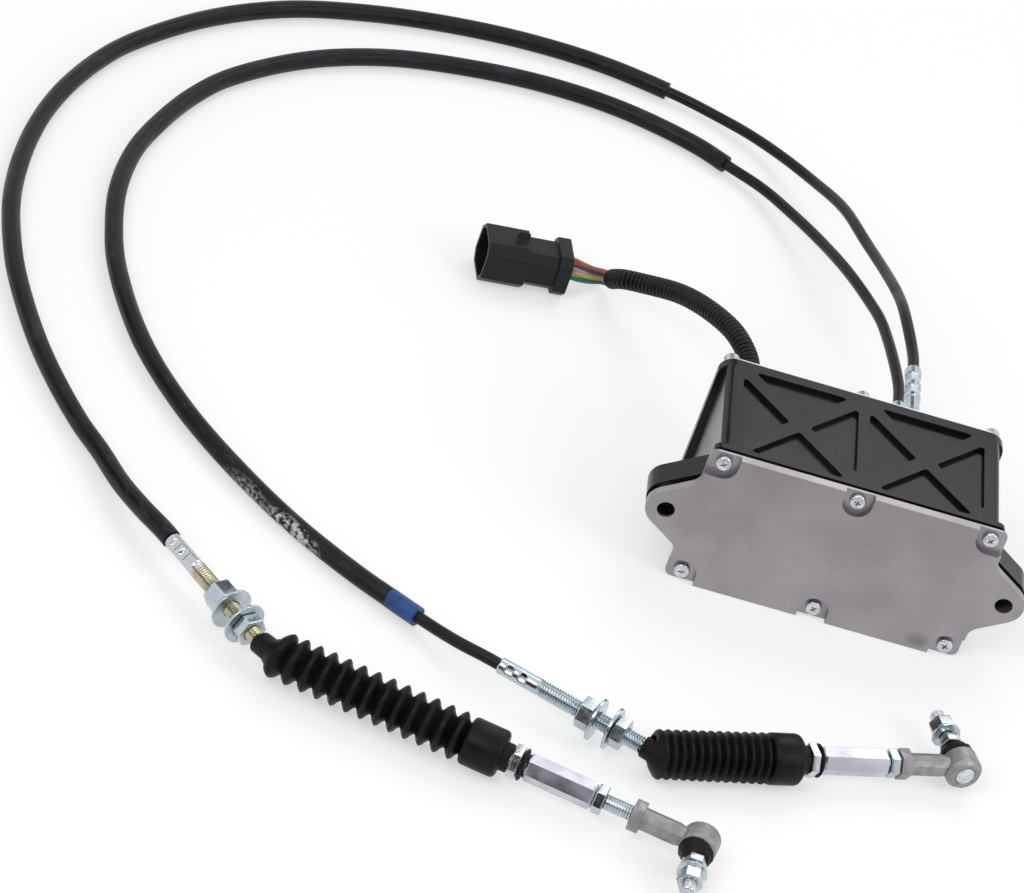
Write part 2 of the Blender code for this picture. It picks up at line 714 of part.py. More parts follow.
def build_yoke(name, side, rod_z):
    """A slotted slide and its rod. side is 1 where the pin works above the shaft, -1 below it."""
    slot_half = PIN_RADIUS + PIN_PLAY
    inner = crank_z + side * (pin_offsets()[0][1] - slot_half - GAP)
    outer = crank_z + side * (CRANK_RADIUS + slot_half + GAP)
    # The body reaches past its slot at one end, and past its rod at the other.
    body_outer = outer + side * YOKE_END_WALL
    body_inner = inner - side * YOKE_WALL
    body_inner = min(body_inner, rod_z - 6) if side > 0 else max(body_inner, rod_z + 4)
    slot_y = CRANK_Y + side * STROKE / 2
    half = slot_half + YOKE_WALL
    body_low, body_high = sorted((body_inner - rod_z, body_outer - rod_z))
    slot_low, slot_high = sorted((inner - rod_z, outer - rod_z))
    at = (YOKE_X, slot_y, rod_z)
    body = box_outline(-half, body_low, half, body_high, 3)
    solid = slab_x(body, -YOKE_THICKNESS / 2, YOKE_THICKNESS / 2)
    yoke = piece(f"yoke_{name}", solid, looks["steel"], box, at, smooth=False)
    slot = box_outline(-slot_half, slot_low, slot_half, slot_high, slot_half * 0.98)
    combine(yoke, "DIFFERENCE", guide(f"yoke_slot_{name}", slab_x(slot, -10, 10), box, at))
    deepest = exit_face + ROD_REACH + (STROKE if side > 0 else 0)
    stem = rod(half - 1, deepest - slot_y, YOKE_ROD_RADIUS)
    combine(yoke, "UNION", guide(f"yoke_stem_{name}", stem, box, at, 90))


# Cable ends at the box

def build_ferrule(name, z):
    length = FERRULE_LENGTH
    bore = FERRULE_BORE
    full = FERRULE_CRIMP
    dent = FERRULE_DENT
    half = FERRULE_AF / 2
    crimp = length - 26
    profile = [(length - 3, 0), (length - 3, bore), (0, bore), (0, half, "hex"), (9, half, "hex"),
               (9.3, full - 0.4), (crimp - 4, full - 0.4), (crimp - 3, full), (crimp, full)]
    for low in (crimp + 1, crimp + 13):
        profile += [(low, dent, "hex"), (low + 6, dent, "hex"), (low + 7, full), (low + 11, full)]
    profile += [(length, full), (length, 0)]
    piece(f"ferrule_{name}", turned(profile), looks["zinc"], box, (CABLE_X, exit_face, z), 90)


def build_grommet():
    inside = back_plate_front - GAP
    end = ROUTE_LEAD[0][1] - GAP
    neck = LEAD_NECK
    profile = [(inside - 2.5, 0), (inside - 2.5, neck + 1.5), (inside, neck + 2), (inside, neck),
               (exit_face, neck), (exit_face, neck + 4), (exit_face + 2.5, neck + 4),
               (exit_face + 3.5, neck + 1.5), (end, LEAD_RADIUS + 0.6), (end, 0)]
    piece("lead_grommet", turned(profile, 16), looks["rubber"], box, (LEAD_X, 0, LEAD_Z), 90)


# Cords

def smooth_route(points):
    """A dense path through the route's points, with its running length."""
    spots = np.array(points, float)
    spots = np.vstack([2 * spots[0] - spots[1], spots, 2 * spots[-1] - spots[-2]])
    knots = np.concatenate([[0], np.cumsum(np.sqrt(np.linalg.norm(np.diff(spots, axis=0), axis=1)))])
    path = []
    for first in range(len(spots) - 3):
        k0, k1, k2, k3 = knots[first:first + 4]
        p0, p1, p2, p3 = spots[first:first + 4]
        for at in np.linspace(k1, k2, 12, endpoint=False):
            a1 = ((k1 - at) * p0 + (at - k0) * p1) / (k1 - k0)
            a2 = ((k2 - at) * p1 + (at - k1) * p2) / (k2 - k1)
            a3 = ((k3 - at) * p2 + (at - k2) * p3) / (k3 - k2)
            b1 = ((k2 - at) * a1 + (at - k0) * a2) / (k2 - k0)
            b2 = ((k3 - at) * a2 + (at - k1) * a3) / (k3 - k1)
            path.append(((k2 - at) * b1 + (at - k1) * b2) / (k2 - k1))
    path.append(spots[-2])
    path = np.array(path)
    length = np.concatenate([[0], np.cumsum(np.linalg.norm(np.diff(path, axis=0), axis=1))])
    return path, length


def cord(name, route, start, end, radius, material):
    """A plain tube along the route from start to end, both measured from the route's beginning."""
    path, length = smooth_route(route)
    end = length[-1] + end if end <= 0 else end
    count = max(4, round((end - start) / (5 * radius)))
    stops = np.linspace(start, end, count + 1)
    # A short first and last stretch turns each end cap square to the route.
    stops = np.concatenate([[start, start + radius], stops[1:-1], [end - radius, end]])
    spots = np.column_stack([np.interp(stops, length, path[:, axis]) for axis in range(3)])
    curve = bpy.data.curves.new(name, "CURVE")
    curve.dimensions = "3D"
    curve.bevel_depth = radius * MM
    curve.bevel_resolution = 2
    curve.use_fill_caps = True
    spline = curve.splines.new("POLY")
    spline.points.add(len(spots) - 1)
    for point, spot in zip(spline.points, spots):
        point.co = (*(spot * MM), 1)
    curve.materials.append(material)
    obj = bpy.data.objects.new(name, curve)
    collection.objects.link(obj)
    obj.parent = box


def build_cords():
    cord("cable_a_conduit", ROUTE_A, GAP, SLEEVE_A_START, CONDUIT_RADIUS, looks["conduit"])
    cord("cable_a_sleeve", ROUTE_A, SLEEVE_A_START + GAP, -GAP, SLEEVE_RADIUS, looks["sleeve"])
    cord("cable_b_conduit", ROUTE_B, GAP, SLEEVE_B_START, CONDUIT_RADIUS, looks["conduit"])
    cord("cable_b_sleeve", ROUTE_B, SLEEVE_B_START + GAP, BAND_START, SLEEVE_RADIUS, looks["sleeve"])
    cord("cable_b_band", ROUTE_B, BAND_START + GAP, BAND_END, BAND_RADIUS, looks["band"])
    cord("cable_b_end", ROUTE_B, BAND_END + GAP, -GAP, CONDUIT_RADIUS, looks["conduit"])
    cord("lead_tube", ROUTE_LEAD, 0, 0, LEAD_RADIUS, looks["rubber"])
    cord("lead_wires", ROUTE_WIRES, 0, 0, WIRES_RADIUS, looks["wires"])


def plug_section(along, width, height, cut, lift=0.0):
    """A rectangle with cut corners, standing across the plug's length."""
    half = width / 2
    corners = [(-half + cut, 0), (half - cut, 0), (half, cut), (half, height - cut), (half - cut, height),
               (-half + cut, height), (-half, height - cut), (-half, cut)]
    return [(along, u, v + lift) for u, v in corners]


def build_plug():
    height = PLUG_HEIGHT
    width = PLUG_WIDTH
    shroud = PLUG_LENGTH - PLUG_SHROUD
    wall = PLUG_WALL
    frame = empty("plug_frame", box, (*PLUG_REAR, 0), PLUG_HEADING)
    sections = []
    stretches = ((0, PLUG_COLLAR, 0, 5, 0.8), (PLUG_COLLAR + 0.5, shroud - 0.5, -4, 5, 2.5),
                 (shroud, PLUG_LENGTH, 1, 6, 0.5))
    for low, high, grow, cut, lift in stretches:
        sections += [plug_section(along, width + grow, height + grow, cut, lift) for along in (low, high)]
    plug = piece("lead_plug", lofted(sections), looks["plastic"], frame, smooth=False)
    hollow = lofted([plug_section(along, width + 1 - 2 * wall, height + 1 - 2 * wall, 5, 0.5 + wall)
                     for along in (PLUG_LENGTH - SOCKET_DEPTH, PLUG_LENGTH + 2)])
    combine(plug, "DIFFERENCE", guide("plug_socket", hollow, frame))
    key = lofted([[(along, -2.5, height + 1), (along, 2.5, height + 1), (along, 0, height + 6)]
                  for along in (shroud + 1, shroud + 8)])
    combine(plug, "UNION", guide("plug_key", key, frame))


# Hubs with their clamp nuts and washers

def build_hub(name, start, heading, length, first_nut, first_washer, second_washer):
    frame = empty(f"hub_frame_{name}", box, (*start, AXIS_HEIGHT), heading)
    end = length - SWIVEL_BALL - GAP
    dent = HUB_DENT
    crimp = HUB_CRIMP
    thread = HUB_THREAD
    profile = [(0, 0), (0, crimp - 0.6), (1, crimp)]
    for low in (4, 13):
        profile += [(low, crimp), (low + 1, dent, "hex"), (low + 5, dent, "hex"), (low + 6, crimp)]
    profile += [(HUB_TAIL, crimp), (HUB_TAIL, thread), (end - 1, thread), (end, thread - 1), (end, 0)]
    piece(f"hub_{name}", turned(profile), looks["hub"], frame)
    bore = HUB_THREAD + GAP
    low, high = first_nut
    piece(f"clamp_nut_{name}1", hex_nut(low, high, bore, CLAMP_AF), looks["zinc"], frame)
    for number, low in ((1, first_washer), (2, second_washer)):
        washer = ring(low, low + WASHER_THICKNESS, bore, WASHER_RADIUS)
        piece(f"washer_{name}{number}", washer, looks["zinc"], frame)
    nut = second_washer + WASHER_THICKNESS + GAP
    piece(f"clamp_nut_{name}2", hex_nut(nut, nut + CLAMP_NUT, bore, CLAMP_AF), looks["zinc"], frame)


# Swivelling rods

def bend_line(rod_heading, hub_heading, stops):
    """Centres and directions of the bellows, seen from the rod: it leaves along the hub and joins the rod."""
    hub = heading_vector(hub_heading - rod_heading)
    line = Vector((1, 0, 0))
    handles = [-hub * BELLOWS_NECK, hub * BELLOWS_NECK * 0.9, line * BEND_LENGTH * 0.3, line * BEND_LENGTH]
    frames = []
    for stop in stops:
        if stop >= BEND_LENGTH:
            frames.append((line * stop, line))
            continue
        t = (stop + BELLOWS_NECK) / (BEND_LENGTH + BELLOWS_NECK)
        s = 1 - t
        shares = (s ** 3, 3 * s * s * t, 3 * s * t * t, t ** 3)
        centre = sum((handle * share for handle, share in zip(handles, shares)), Vector((0, 0, 0)))
        slope = ((handles[1] - handles[0]) * s * s + (handles[2] - handles[1]) * 2 * s * t
                 + (handles[3] - handles[2]) * t * t)
        frames.append((centre, slope.normalized()))
    return frames


def bellows_mesh(length, folds, valley, rod_heading, hub_heading):
    """Folds from the hub's neck to a plain cap, then a short tail against the nut."""
    bore = HUB_THREAD + GAP
    neck_end = 1.0
    cap_end = length - BELLOWS_TAIL
    folds_end = cap_end - BELLOWS_CAP
    pitch = (folds_end - neck_end) / folds
    inside = valley - BELLOWS_WALL
    outer = [(-BELLOWS_NECK, bore + BELLOWS_WALL), (neck_end - 2, valley - 1)]
    inner = [(-BELLOWS_NECK, bore), (neck_end - 2, inside - 1)]
    for fold in range(folds):
        low = neck_end + fold * pitch
        outer += [(low, valley), (low + pitch * 0.4, BELLOWS_PEAK), (low + pitch * 0.6, BELLOWS_PEAK)]
        inner += [(low, inside), (low + pitch * 0.5, BELLOWS_PEAK - BELLOWS_WALL * 1.3)]
    cap = BELLOWS_CAP_RADIUS
    tail = BELLOWS_TAIL_RADIUS
    rod_bore = PUSH_ROD + GAP
    outer += [(folds_end, valley), (folds_end + 3, cap), (cap_end - 1.5, cap), (cap_end, cap - 1.5),
              (cap_end, tail), (length, tail)]
    inner += [(folds_end, inside), (cap_end - 2, inside), (cap_end - 2, rod_bore), (length, rod_bore)]
    walls = []
    for profile in (outer, inner):
        frames = bend_line(rod_heading, hub_heading, [along for along, _ in profile])
        walls.append([(*frame, radius) for frame, (_, radius) in zip(frames, profile)])
    return flexed(*walls)


def build_rod_end(name, rod_frame, eye, stem_start):
    """Threaded stem, hex collar and tapered shank, with a ball socket across its end."""
    socket = BALL_RADIUS + GAP
    collar = eye - EYE_COLLAR
    collar_end = collar + COLLAR_LENGTH
    half = COLLAR_AF / 2
    shank_end = eye - socket - 0.8
    # The shank stays below the eye's front face, where the boot sits.
    neck = EYE_FRONT - 0.4
    profile = [(stem_start, 0), (stem_start, PUSH_ROD), (collar, PUSH_ROD), (collar, half, "hex"),
               (collar_end, half, "hex"), (collar_end, SHANK_RADIUS), (eye - EYE_RADIUS - 2, SHANK_RADIUS),
               (eye - EYE_RADIUS, neck), (shank_end - 1, neck), (shank_end, neck - 2), (shank_end, 0)]
    end = piece(f"rod_end_{name}", turned(profile), looks["cast"], rod_frame)
    depth = math.sqrt(socket ** 2 - SOCKET_MOUTH ** 2)
    mouth_angle = math.atan2(SOCKET_MOUTH, depth)
    cup = []
    for step in range(6):
        angle = mouth_angle + (math.pi - mouth_angle) * step / 5
        cup.append((socket * math.cos(angle), socket * math.sin(angle) if step < 5 else 0))
    edge = EYE_RADIUS
    eye_profile = [(0.8 - EYE_BACK, 0), (0.8 - EYE_BACK, 5.5), (-EYE_BACK, 5.8), (-EYE_BACK, edge - 2),
                   (-EYE_BACK + 2.5, edge), (EYE_FRONT - 1.5, edge), (EYE_FRONT, edge - 1.5),
                   (EYE_FRONT, SOCKET_MOUTH)] + cup
    return end, eye_profile


def ball_stud_mesh():
    sphere = []
    neck_angle = math.asin(STUD_NECK / BALL_RADIUS)
    for step in range(6):
        angle = math.pi - (math.pi - neck_angle) * step / 5
        sphere.append((BALL_RADIUS * math.cos(angle), BALL_RADIUS * math.sin(angle) if step else 0))
    hex_end = STUD_HEX_START + STUD_HEX
    half = STUD_AF / 2
    return turned(sphere + [
        (STUD_HEX_START, STUD_NECK), (STUD_HEX_START, half, "hex"), (hex_end, half, "hex"),
        (hex_end, STUD_THREAD), (STUD_LENGTH - 1, STUD_THREAD), (STUD_LENGTH, STUD_THREAD - 1),
        (STUD_LENGTH, 0)])


def boot_mesh(tilt):
    """Rubber boot from the socket's face to the stud's hexagon, leaning with the stud."""
    face = Vector((1, 0, 0))
    stud = heading_vector(tilt)
    start = face * (EYE_FRONT + GAP)
    end = stud * (STUD_HEX_START - GAP)
    walls = []
    for profile in ([(0, 9.2), (0.25, 9.8), (0.5, 8.2), (0.75, 7.6), (1, 5.4)],
                    [(0, 7.6), (0.25, 8.2), (0.5, 6.6), (0.75, 5.8), (1, STUD_NECK + GAP)]):
        wall = []
        for share, radius in profile:
            direction = (face * (1 - share) + stud * share).normalized()
            wall.append((start.lerp(end, share), direction, radius))
        walls.append(wall)
    return flexed(*walls, sides=12)


def stud_nut_mesh():
    low = STUD_NUT_START
    high = low + STUD_NUT
    bore = STUD_THREAD + GAP
    flange = STUD_NUT_FLANGE
    half = STUD_NUT_AF / 2
    return turned([
        (low, bore), (low, flange), (low + 1.2, flange), (low + 2.8, half + 0.2), (low + 3, half, "hex"),
        (high - 1, half, "hex"), (high, half - 0.4, "hex"), (high, bore)], closed=True)


def build_rod(name, hub, heading, folds, length, valley, eye, socket_turn, tilt):
    hub_start, hub_heading, hub_length = hub
    pivot = Vector((*hub_start, AXIS_HEIGHT)) + heading_vector(hub_heading) * hub_length
    frame = empty(f"rod_frame_{name}", box, pivot, heading)
    ball = SWIVEL_BALL
    tube = turned([
        (-ball, 0), (-ball * 0.866, ball * 0.5), (-ball * 0.5, ball * 0.866), (0, ball), (SWIVEL_TUBE, ball),
        (SWIVEL_TUBE, TUBE_BORE), (ball - 1, TUBE_BORE), (ball - 1, 0)], 16)
    piece(f"swivel_tube_{name}", tube, looks["zinc"], frame)
    tip = ROD_TIP_IN + length - BELLOWS_IN
    nut = length + GAP * 2
    nut_end = nut + BELLOWS_NUT
    seal = nut_end + GAP
    coupler = seal + SEAL_RING + GAP
    coupler_end = coupler + COUPLER_LENGTH
    front_nut = coupler_end + GAP
    piece(f"push_rod_{name}", rod(tip, coupler + PUSH_ROD_IN, PUSH_ROD), looks["zinc"], frame)
    wall = bellows_mesh(length, folds, valley, heading, hub_heading)
    piece(f"bellows_{name}", wall, looks["rubber"], frame)
    piece(f"bellows_nut_{name}", hex_nut(nut, nut_end, PUSH_ROD + GAP, BELLOWS_NUT_AF), looks["zinc"], frame)
    seal_profile = [(seal, PUSH_ROD + GAP), (seal, RING_RADIUS - 1.5), (seal + SEAL_RING / 2, RING_RADIUS),
                    (seal + SEAL_RING, RING_RADIUS - 1.5), (seal + SEAL_RING, PUSH_ROD + GAP)]
    piece(f"seal_ring_{name}", turned(seal_profile, 16, closed=True), looks["rubber"], frame)
    half = COUPLER_AF / 2
    inner = coupler + PUSH_ROD_IN + 1
    bottom = coupler_end - COUPLER_DEPTH
    bar = [(inner, 0), (inner, COUPLER_BORE), (coupler, COUPLER_BORE), (coupler, half - 0.6),
           (coupler + 1.5, half, "hex"), (coupler_end - 1.5, half, "hex"), (coupler_end, half - 0.6),
           (coupler_end, COUPLER_BORE), (bottom, COUPLER_BORE), (bottom, 0)]
    piece(f"hex_coupler_{name}", turned(bar), looks["zinc"], frame)
    nut_mesh = hex_nut(front_nut, front_nut + ROD_NUT, PUSH_ROD + GAP, ROD_NUT_AF)
    piece(f"rod_nut_{name}", nut_mesh, looks["zinc"], frame)
    end, eye_profile = build_rod_end(name, frame, eye, front_nut - STEM_IN)
    eye_frame = empty(f"eye_frame_{name}", frame, (eye, 0, 0), socket_turn)
    combine(end, "UNION", guide(f"eye_{name}", turned(eye_profile, 20), eye_frame))
    piece(f"dust_boot_{name}", boot_mesh(tilt), looks["rubber"], eye_frame)
    stud_frame = empty(f"stud_frame_{name}", eye_frame, (0, 0, 0), tilt)
    piece(f"ball_stud_{name}", ball_stud_mesh(), looks["zinc"], stud_frame)
    piece(f"stud_nut_{name}", stud_nut_mesh(), looks["zinc"], stud_frame)


clear_scene()
looks = {
    "guide": look("guide", (0.8, 0.2, 0.2), 0.5),
    "plastic": look("black_plastic", (0.03, 0.03, 0.035), 0.3),
    "steel": look("matt_steel", (0.55, 0.53, 0.52), 0.4, 1.0),
    "gasket": look("gasket", (0.02, 0.02, 0.02), 0.8),
    "zinc": look("zinc", (0.62, 0.65, 0.68), 0.3, 1.0),
    "hub": look("yellow_zinc", (0.66, 0.62, 0.5), 0.3, 1.0),
    "cast": look("cast_zinc", (0.5, 0.5, 0.5), 0.5, 1.0),
    "rubber": look("black_rubber", (0.02, 0.02, 0.02), 0.6),
    "conduit": look("conduit", (0.05, 0.05, 0.055), 0.4),
    "sleeve": look("sleeve", (0.025, 0.025, 0.03), 0.5),
    "band": look("blue_band", (0.02, 0.09, 0.4), 0.5),
    "wires": look("wires", (0.6, 0.5, 0.4), 0.5),
    "motor": look("motor_can", (0.5, 0.5, 0.5), 0.35, 1.0),
    "sensor": look("sensor_body", (0.05, 0.1, 0.25), 0.5),
    "brass": look("gear_brass", (0.7, 0.5, 0.2), 0.35, 1.0),
}
box = empty("box_frame", None, (0, -box_middle, 0))
build_housing()
build_cover()
build_gasket()
build_back_plate()
build_cover_screws()
build_drive()
build_crank()
build_yoke("a", 1, CABLE_A_Z)
build_yoke("b", -1, CABLE_B_Z)
build_ferrule("a", CABLE_A_Z)
build_ferrule("b", CABLE_B_Z)
build_grommet()
build_cords()
build_plug()
hub_a = (HUB_A_START, HUB_A_HEADING, HUB_A_LENGTH)
hub_b = (HUB_B_START, HUB_B_HEADING, HUB_B_LENGTH)
build_hub("a", *hub_a, (43.5, 55.0), 57.0, 69.5)
build_hub("b", *hub_b, (49.5, 57.5), 58.5, 68.5)
build_rod("a", hub_a, ROD_A_HEADING, 13, bellows_out, VALLEY_OUT, EYE_A, -90, STUD_A_TILT)
build_rod("b", hub_b, ROD_B_HEADING, 12, BELLOWS_IN, VALLEY_IN, EYE_B, 90, 0)
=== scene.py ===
import json
import math
import bpy
import numpy as np
from mathutils import Matrix, Vector

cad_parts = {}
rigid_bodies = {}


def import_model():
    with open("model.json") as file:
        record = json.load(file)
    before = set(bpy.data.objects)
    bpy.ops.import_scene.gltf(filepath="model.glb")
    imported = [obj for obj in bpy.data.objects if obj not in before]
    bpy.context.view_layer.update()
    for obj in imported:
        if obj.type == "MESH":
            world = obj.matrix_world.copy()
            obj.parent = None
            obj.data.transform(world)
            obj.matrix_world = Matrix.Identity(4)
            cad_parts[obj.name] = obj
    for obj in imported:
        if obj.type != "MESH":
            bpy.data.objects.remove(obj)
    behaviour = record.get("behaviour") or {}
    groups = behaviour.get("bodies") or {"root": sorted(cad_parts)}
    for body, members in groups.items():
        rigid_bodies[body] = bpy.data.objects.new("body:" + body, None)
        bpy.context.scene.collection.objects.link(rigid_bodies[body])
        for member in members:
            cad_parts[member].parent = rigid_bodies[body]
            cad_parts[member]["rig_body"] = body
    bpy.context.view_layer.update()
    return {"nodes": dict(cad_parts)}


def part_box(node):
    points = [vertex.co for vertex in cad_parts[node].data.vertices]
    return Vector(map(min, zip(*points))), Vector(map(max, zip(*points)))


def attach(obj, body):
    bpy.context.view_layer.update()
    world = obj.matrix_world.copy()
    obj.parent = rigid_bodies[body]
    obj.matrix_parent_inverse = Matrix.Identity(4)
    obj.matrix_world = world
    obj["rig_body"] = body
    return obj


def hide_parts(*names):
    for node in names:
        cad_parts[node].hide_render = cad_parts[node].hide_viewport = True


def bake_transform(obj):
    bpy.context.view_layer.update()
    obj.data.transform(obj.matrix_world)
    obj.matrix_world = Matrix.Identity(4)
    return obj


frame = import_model()
nodes = frame["nodes"]
boxMiddle = 76.05  # the box stands this far in front of the frame's origin
axisHeight = 14.6  # height of both fittings' centre lines


def spot(x, y, z):
    # Millimetres on the object, turned into metres in the frame.
    return Vector((x, y - boxMiddle, z)) / 1000


def heading(degrees):
    return Vector((math.cos(math.radians(degrees)), math.sin(math.radians(degrees)), 0))


def placeAlong(origin, degrees):
    # Matrix with Z along a level heading and X pointing up, for pieces turned about their own line.
    line = heading(degrees)
    up = Vector((0, 0, 1))
    side = line.cross(up)
    matrix = Matrix((up, side, line)).transposed().to_4x4()
    matrix.translation = origin
    return matrix


print("stage: camera, floor and lights")
view = {
    "lens": 193.36, "position": (-0.50329, -2.50711, 1.76198),
    "right": (0.95592, 0.07546, 0.28375), "up": (-0.27401, 0.57644, 0.76983), "back": (-0.10547, -0.81365, 0.57171),
}
camera = bpy.data.objects.new("viewCamera", bpy.data.cameras.new("viewCamera"))
camera.data.lens = view["lens"]
camera.data.sensor_width = 36
camera.data.clip_start = 0.1
camera.data.clip_end = 60
turned = Matrix((view["right"], view["up"], view["back"])).transposed().to_4x4()
turned.translation = view["position"]
camera.matrix_world = turned
bpy.context.scene.collection.objects.link(camera)
bpy.context.scene.camera = camera
bpy.context.scene.view_settings.view_transform = "Standard"

light = {
    "worldFill": 0.5,
    "lamps": [  # place, size, power and warmth
        ((-1.1, -1.5, 1.7), 1.3, 15.0, (1.0, 0.985, 0.96)),
        ((1.3, -0.9, 1.3), 0.9, 6.0, (0.95, 0.975, 1.0)),
        ((0.2, 1.2, 1.6), 1.2, 6.0, (1.0, 1.0, 1.0)),
    ],
    "cards": [  # dark cards that only metal and gloss can see
        ((-0.32, 1.0, 0.92), (0.8, 0.42), (-0.2, -0.1, 0.0)),
        ((-0.74, -1.9, 0.81), (1.7, 1.15), (-0.15, -0.28, 0.01)),
        ((-1.6, 0.5, 0.45), (0.9, 1.1), (-0.2, -0.1, 0.0)),
        ((0.9, -1.7, 0.3), (0.8, 0.8), (0.0, -0.1, 0.0)),
    ],
    "floorColor": 0.6, "floorLift": 0.5,
}


def aimAt(place, target):
    matrix = (Vector(target) - Vector(place)).to_track_quat("-Z", "Y").to_matrix().to_4x4()
    matrix.translation = place
    return matrix


def lightSeen(tree):
    # One where the camera, a reflection or a clear surface looks, and zero for plain light.
    path = tree.nodes.new("ShaderNodeLightPath")
    both = tree.nodes.new("ShaderNodeMath")
    both.operation = "MAXIMUM"
    all3 = tree.nodes.new("ShaderNodeMath")
    all3.operation = "MAXIMUM"
    tree.links.new(path.outputs["Is Camera Ray"], both.inputs[0])
    tree.links.new(path.outputs["Is Glossy Ray"], both.inputs[1])
    tree.links.new(both.outputs[0], all3.inputs[0])
    tree.links.new(path.outputs["Is Transmission Ray"], all3.inputs[1])
    return all3.outputs[0]


def buildStudio():
    world = bpy.data.worlds.new("paleRoom")
    world.use_nodes = True
    tree = world.node_tree
    tree.nodes.clear()
    seen = lightSeen(tree)
    strength = tree.nodes.new("ShaderNodeMapRange")
    strength.inputs["To Min"].default_value = light["worldFill"]
    strength.inputs["To Max"].default_value = 1.0
    tree.links.new(seen, strength.inputs["Value"])
    sky = tree.nodes.new("ShaderNodeBackground")
    sky.inputs["Color"].default_value = (1, 1, 1, 1)
    tree.links.new(strength.outputs[0], sky.inputs["Strength"])
    out = tree.nodes.new("ShaderNodeOutputWorld")
    tree.links.new(sky.outputs[0], out.inputs["Surface"])
    bpy.context.scene.world = world
    for number, (place, size, power, tint) in enumerate(light["lamps"]):
        lamp = bpy.data.lights.new(f"softLamp{number}", "AREA")
        lamp.shape = "DISK"
        lamp.size = size
        lamp.energy = power
        lamp.color = tint
        holder = bpy.data.objects.new(lamp.name, lamp)
        holder.matrix_world = aimAt(place, (-0.15, 0.0, 0.0))
        bpy.context.scene.collection.objects.link(holder)
    floor = bpy.data.materials.new("floorPaper")
    floor.use_nodes = True
    tree = floor.node_tree
    paper = tree.nodes["Principled BSDF"]
    paper.inputs["Base Color"].default_value = (light["floorColor"],) * 3 + (1,)
    paper.inputs["Roughness"].default_value = 0.85
    paper.inputs["Specular IOR Level"].default_value = 0.1
    glow = tree.nodes.new("ShaderNodeEmission")
    seen = lightSeen(tree)
    lift = tree.nodes.new("ShaderNodeMath")
    lift.operation = "MULTIPLY"
    lift.inputs[1].default_value = light["floorLift"]
    tree.links.new(seen, lift.inputs[0])
    tree.links.new(lift.outputs[0], glow.inputs["Strength"])
    add = tree.nodes.new("ShaderNodeAddShader")
    tree.links.new(paper.outputs[0], add.inputs[0])
    tree.links.new(glow.outputs[0], add.inputs[1])
    tree.links.new(add.outputs[0], tree.nodes["Material Output"].inputs["Surface"])
    bpy.ops.mesh.primitive_plane_add(size=14, location=(0, 0, -0.0005))
    ground = bpy.context.object
    ground.name = "groundSheet"
    ground.data.materials.append(floor)
    card = bpy.data.materials.new("darkCard")
    card.use_nodes = True
    card.node_tree.nodes["Principled BSDF"].inputs["Base Color"].default_value = (0.02, 0.02, 0.022, 1)
    card.node_tree.nodes["Principled BSDF"].inputs["Roughness"].default_value = 0.9
    for number, (place, (wide, high), target) in enumerate(light["cards"]):
        bpy.ops.mesh.primitive_plane_add(size=1)
        flag = bpy.context.object
        flag.name = f"darkFlag{number}"
        flag.matrix_world = aimAt(place, target) @ Matrix.Diagonal((wide, high, 1, 1))
        flag.data.materials.append(card)
        flag.visible_camera = False
        flag.visible_diffuse = False
        flag.visible_shadow = False


buildStudio()

print("stage: finishes")


def tone(red, green, blue):
    # A colour as it is read from a picture, 0 to 255, made linear.
    line = []
    for part in (red, green, blue):
        part /= 255
        line.append(part / 12.92 if part <= 0.04045 else ((part + 0.055) / 1.055) ** 2.4)
    return (*line, 1)


def newGroup(name, inputs, outputs):
    group = bpy.data.node_groups.new(name, "ShaderNodeTree")
    for label, kind, value in inputs:
        socket = group.interface.new_socket(label, in_out="INPUT", socket_type=kind)
        if value is not None:
            socket.default_value = value
    for label, kind in outputs:
        group.interface.new_socket(label, in_out="OUTPUT", socket_type=kind)
    start = group.nodes.new("NodeGroupInput")
    end = group.nodes.new("NodeGroupOutput")
    return group, start, end


def buildBlotches():
    # Wide, soft patches: handling marks, dull spots, uneven plating.
    group, start, end = newGroup("blotches", [
        ("Vector", "NodeSocketVector", None), ("Scale", "NodeSocketFloat", 30.0),
        ("Low", "NodeSocketFloat", 0.4), ("High", "NodeSocketFloat", 0.65)], [("Mask", "NodeSocketFloat")])
    noise = group.nodes.new("ShaderNodeTexNoise")
    noise.inputs["Detail"].default_value = 4
    noise.inputs["Distortion"].default_value = 0.4
    ramp = group.nodes.new("ShaderNodeMapRange")
    group.links.new(start.outputs["Vector"], noise.inputs["Vector"])
    group.links.new(start.outputs["Scale"], noise.inputs["Scale"])
    group.links.new(noise.outputs[0], ramp.inputs["Value"])
    group.links.new(start.outputs["Low"], ramp.inputs["From Min"])
    group.links.new(start.outputs["High"], ramp.inputs["From Max"])
    group.links.new(ramp.outputs[0], end.inputs["Mask"])
    return group


def buildGrain():
    # Fine surface texture: its mask and the bump that it makes.
    group, start, end = newGroup("grain", [
        ("Vector", "NodeSocketVector", None), ("Scale", "NodeSocketFloat", 900.0),
        ("Depth", "NodeSocketFloat", 0.0001)], [("Mask", "NodeSocketFloat"), ("Normal", "NodeSocketVector")])
    noise = group.nodes.new("ShaderNodeTexNoise")
    noise.inputs["Detail"].default_value = 3
    noise.inputs["Roughness"].default_value = 0.6
    bump = group.nodes.new("ShaderNodeBump")
    bump.inputs["Strength"].default_value = 0.8
    group.links.new(start.outputs["Vector"], noise.inputs["Vector"])
    group.links.new(start.outputs["Scale"], noise.inputs["Scale"])
    group.links.new(noise.outputs[0], bump.inputs["Height"])
    group.links.new(start.outputs["Depth"], bump.inputs["Distance"])
    group.links.new(noise.outputs[0], end.inputs["Mask"])
    group.links.new(bump.outputs[0], end.inputs["Normal"])
    return group


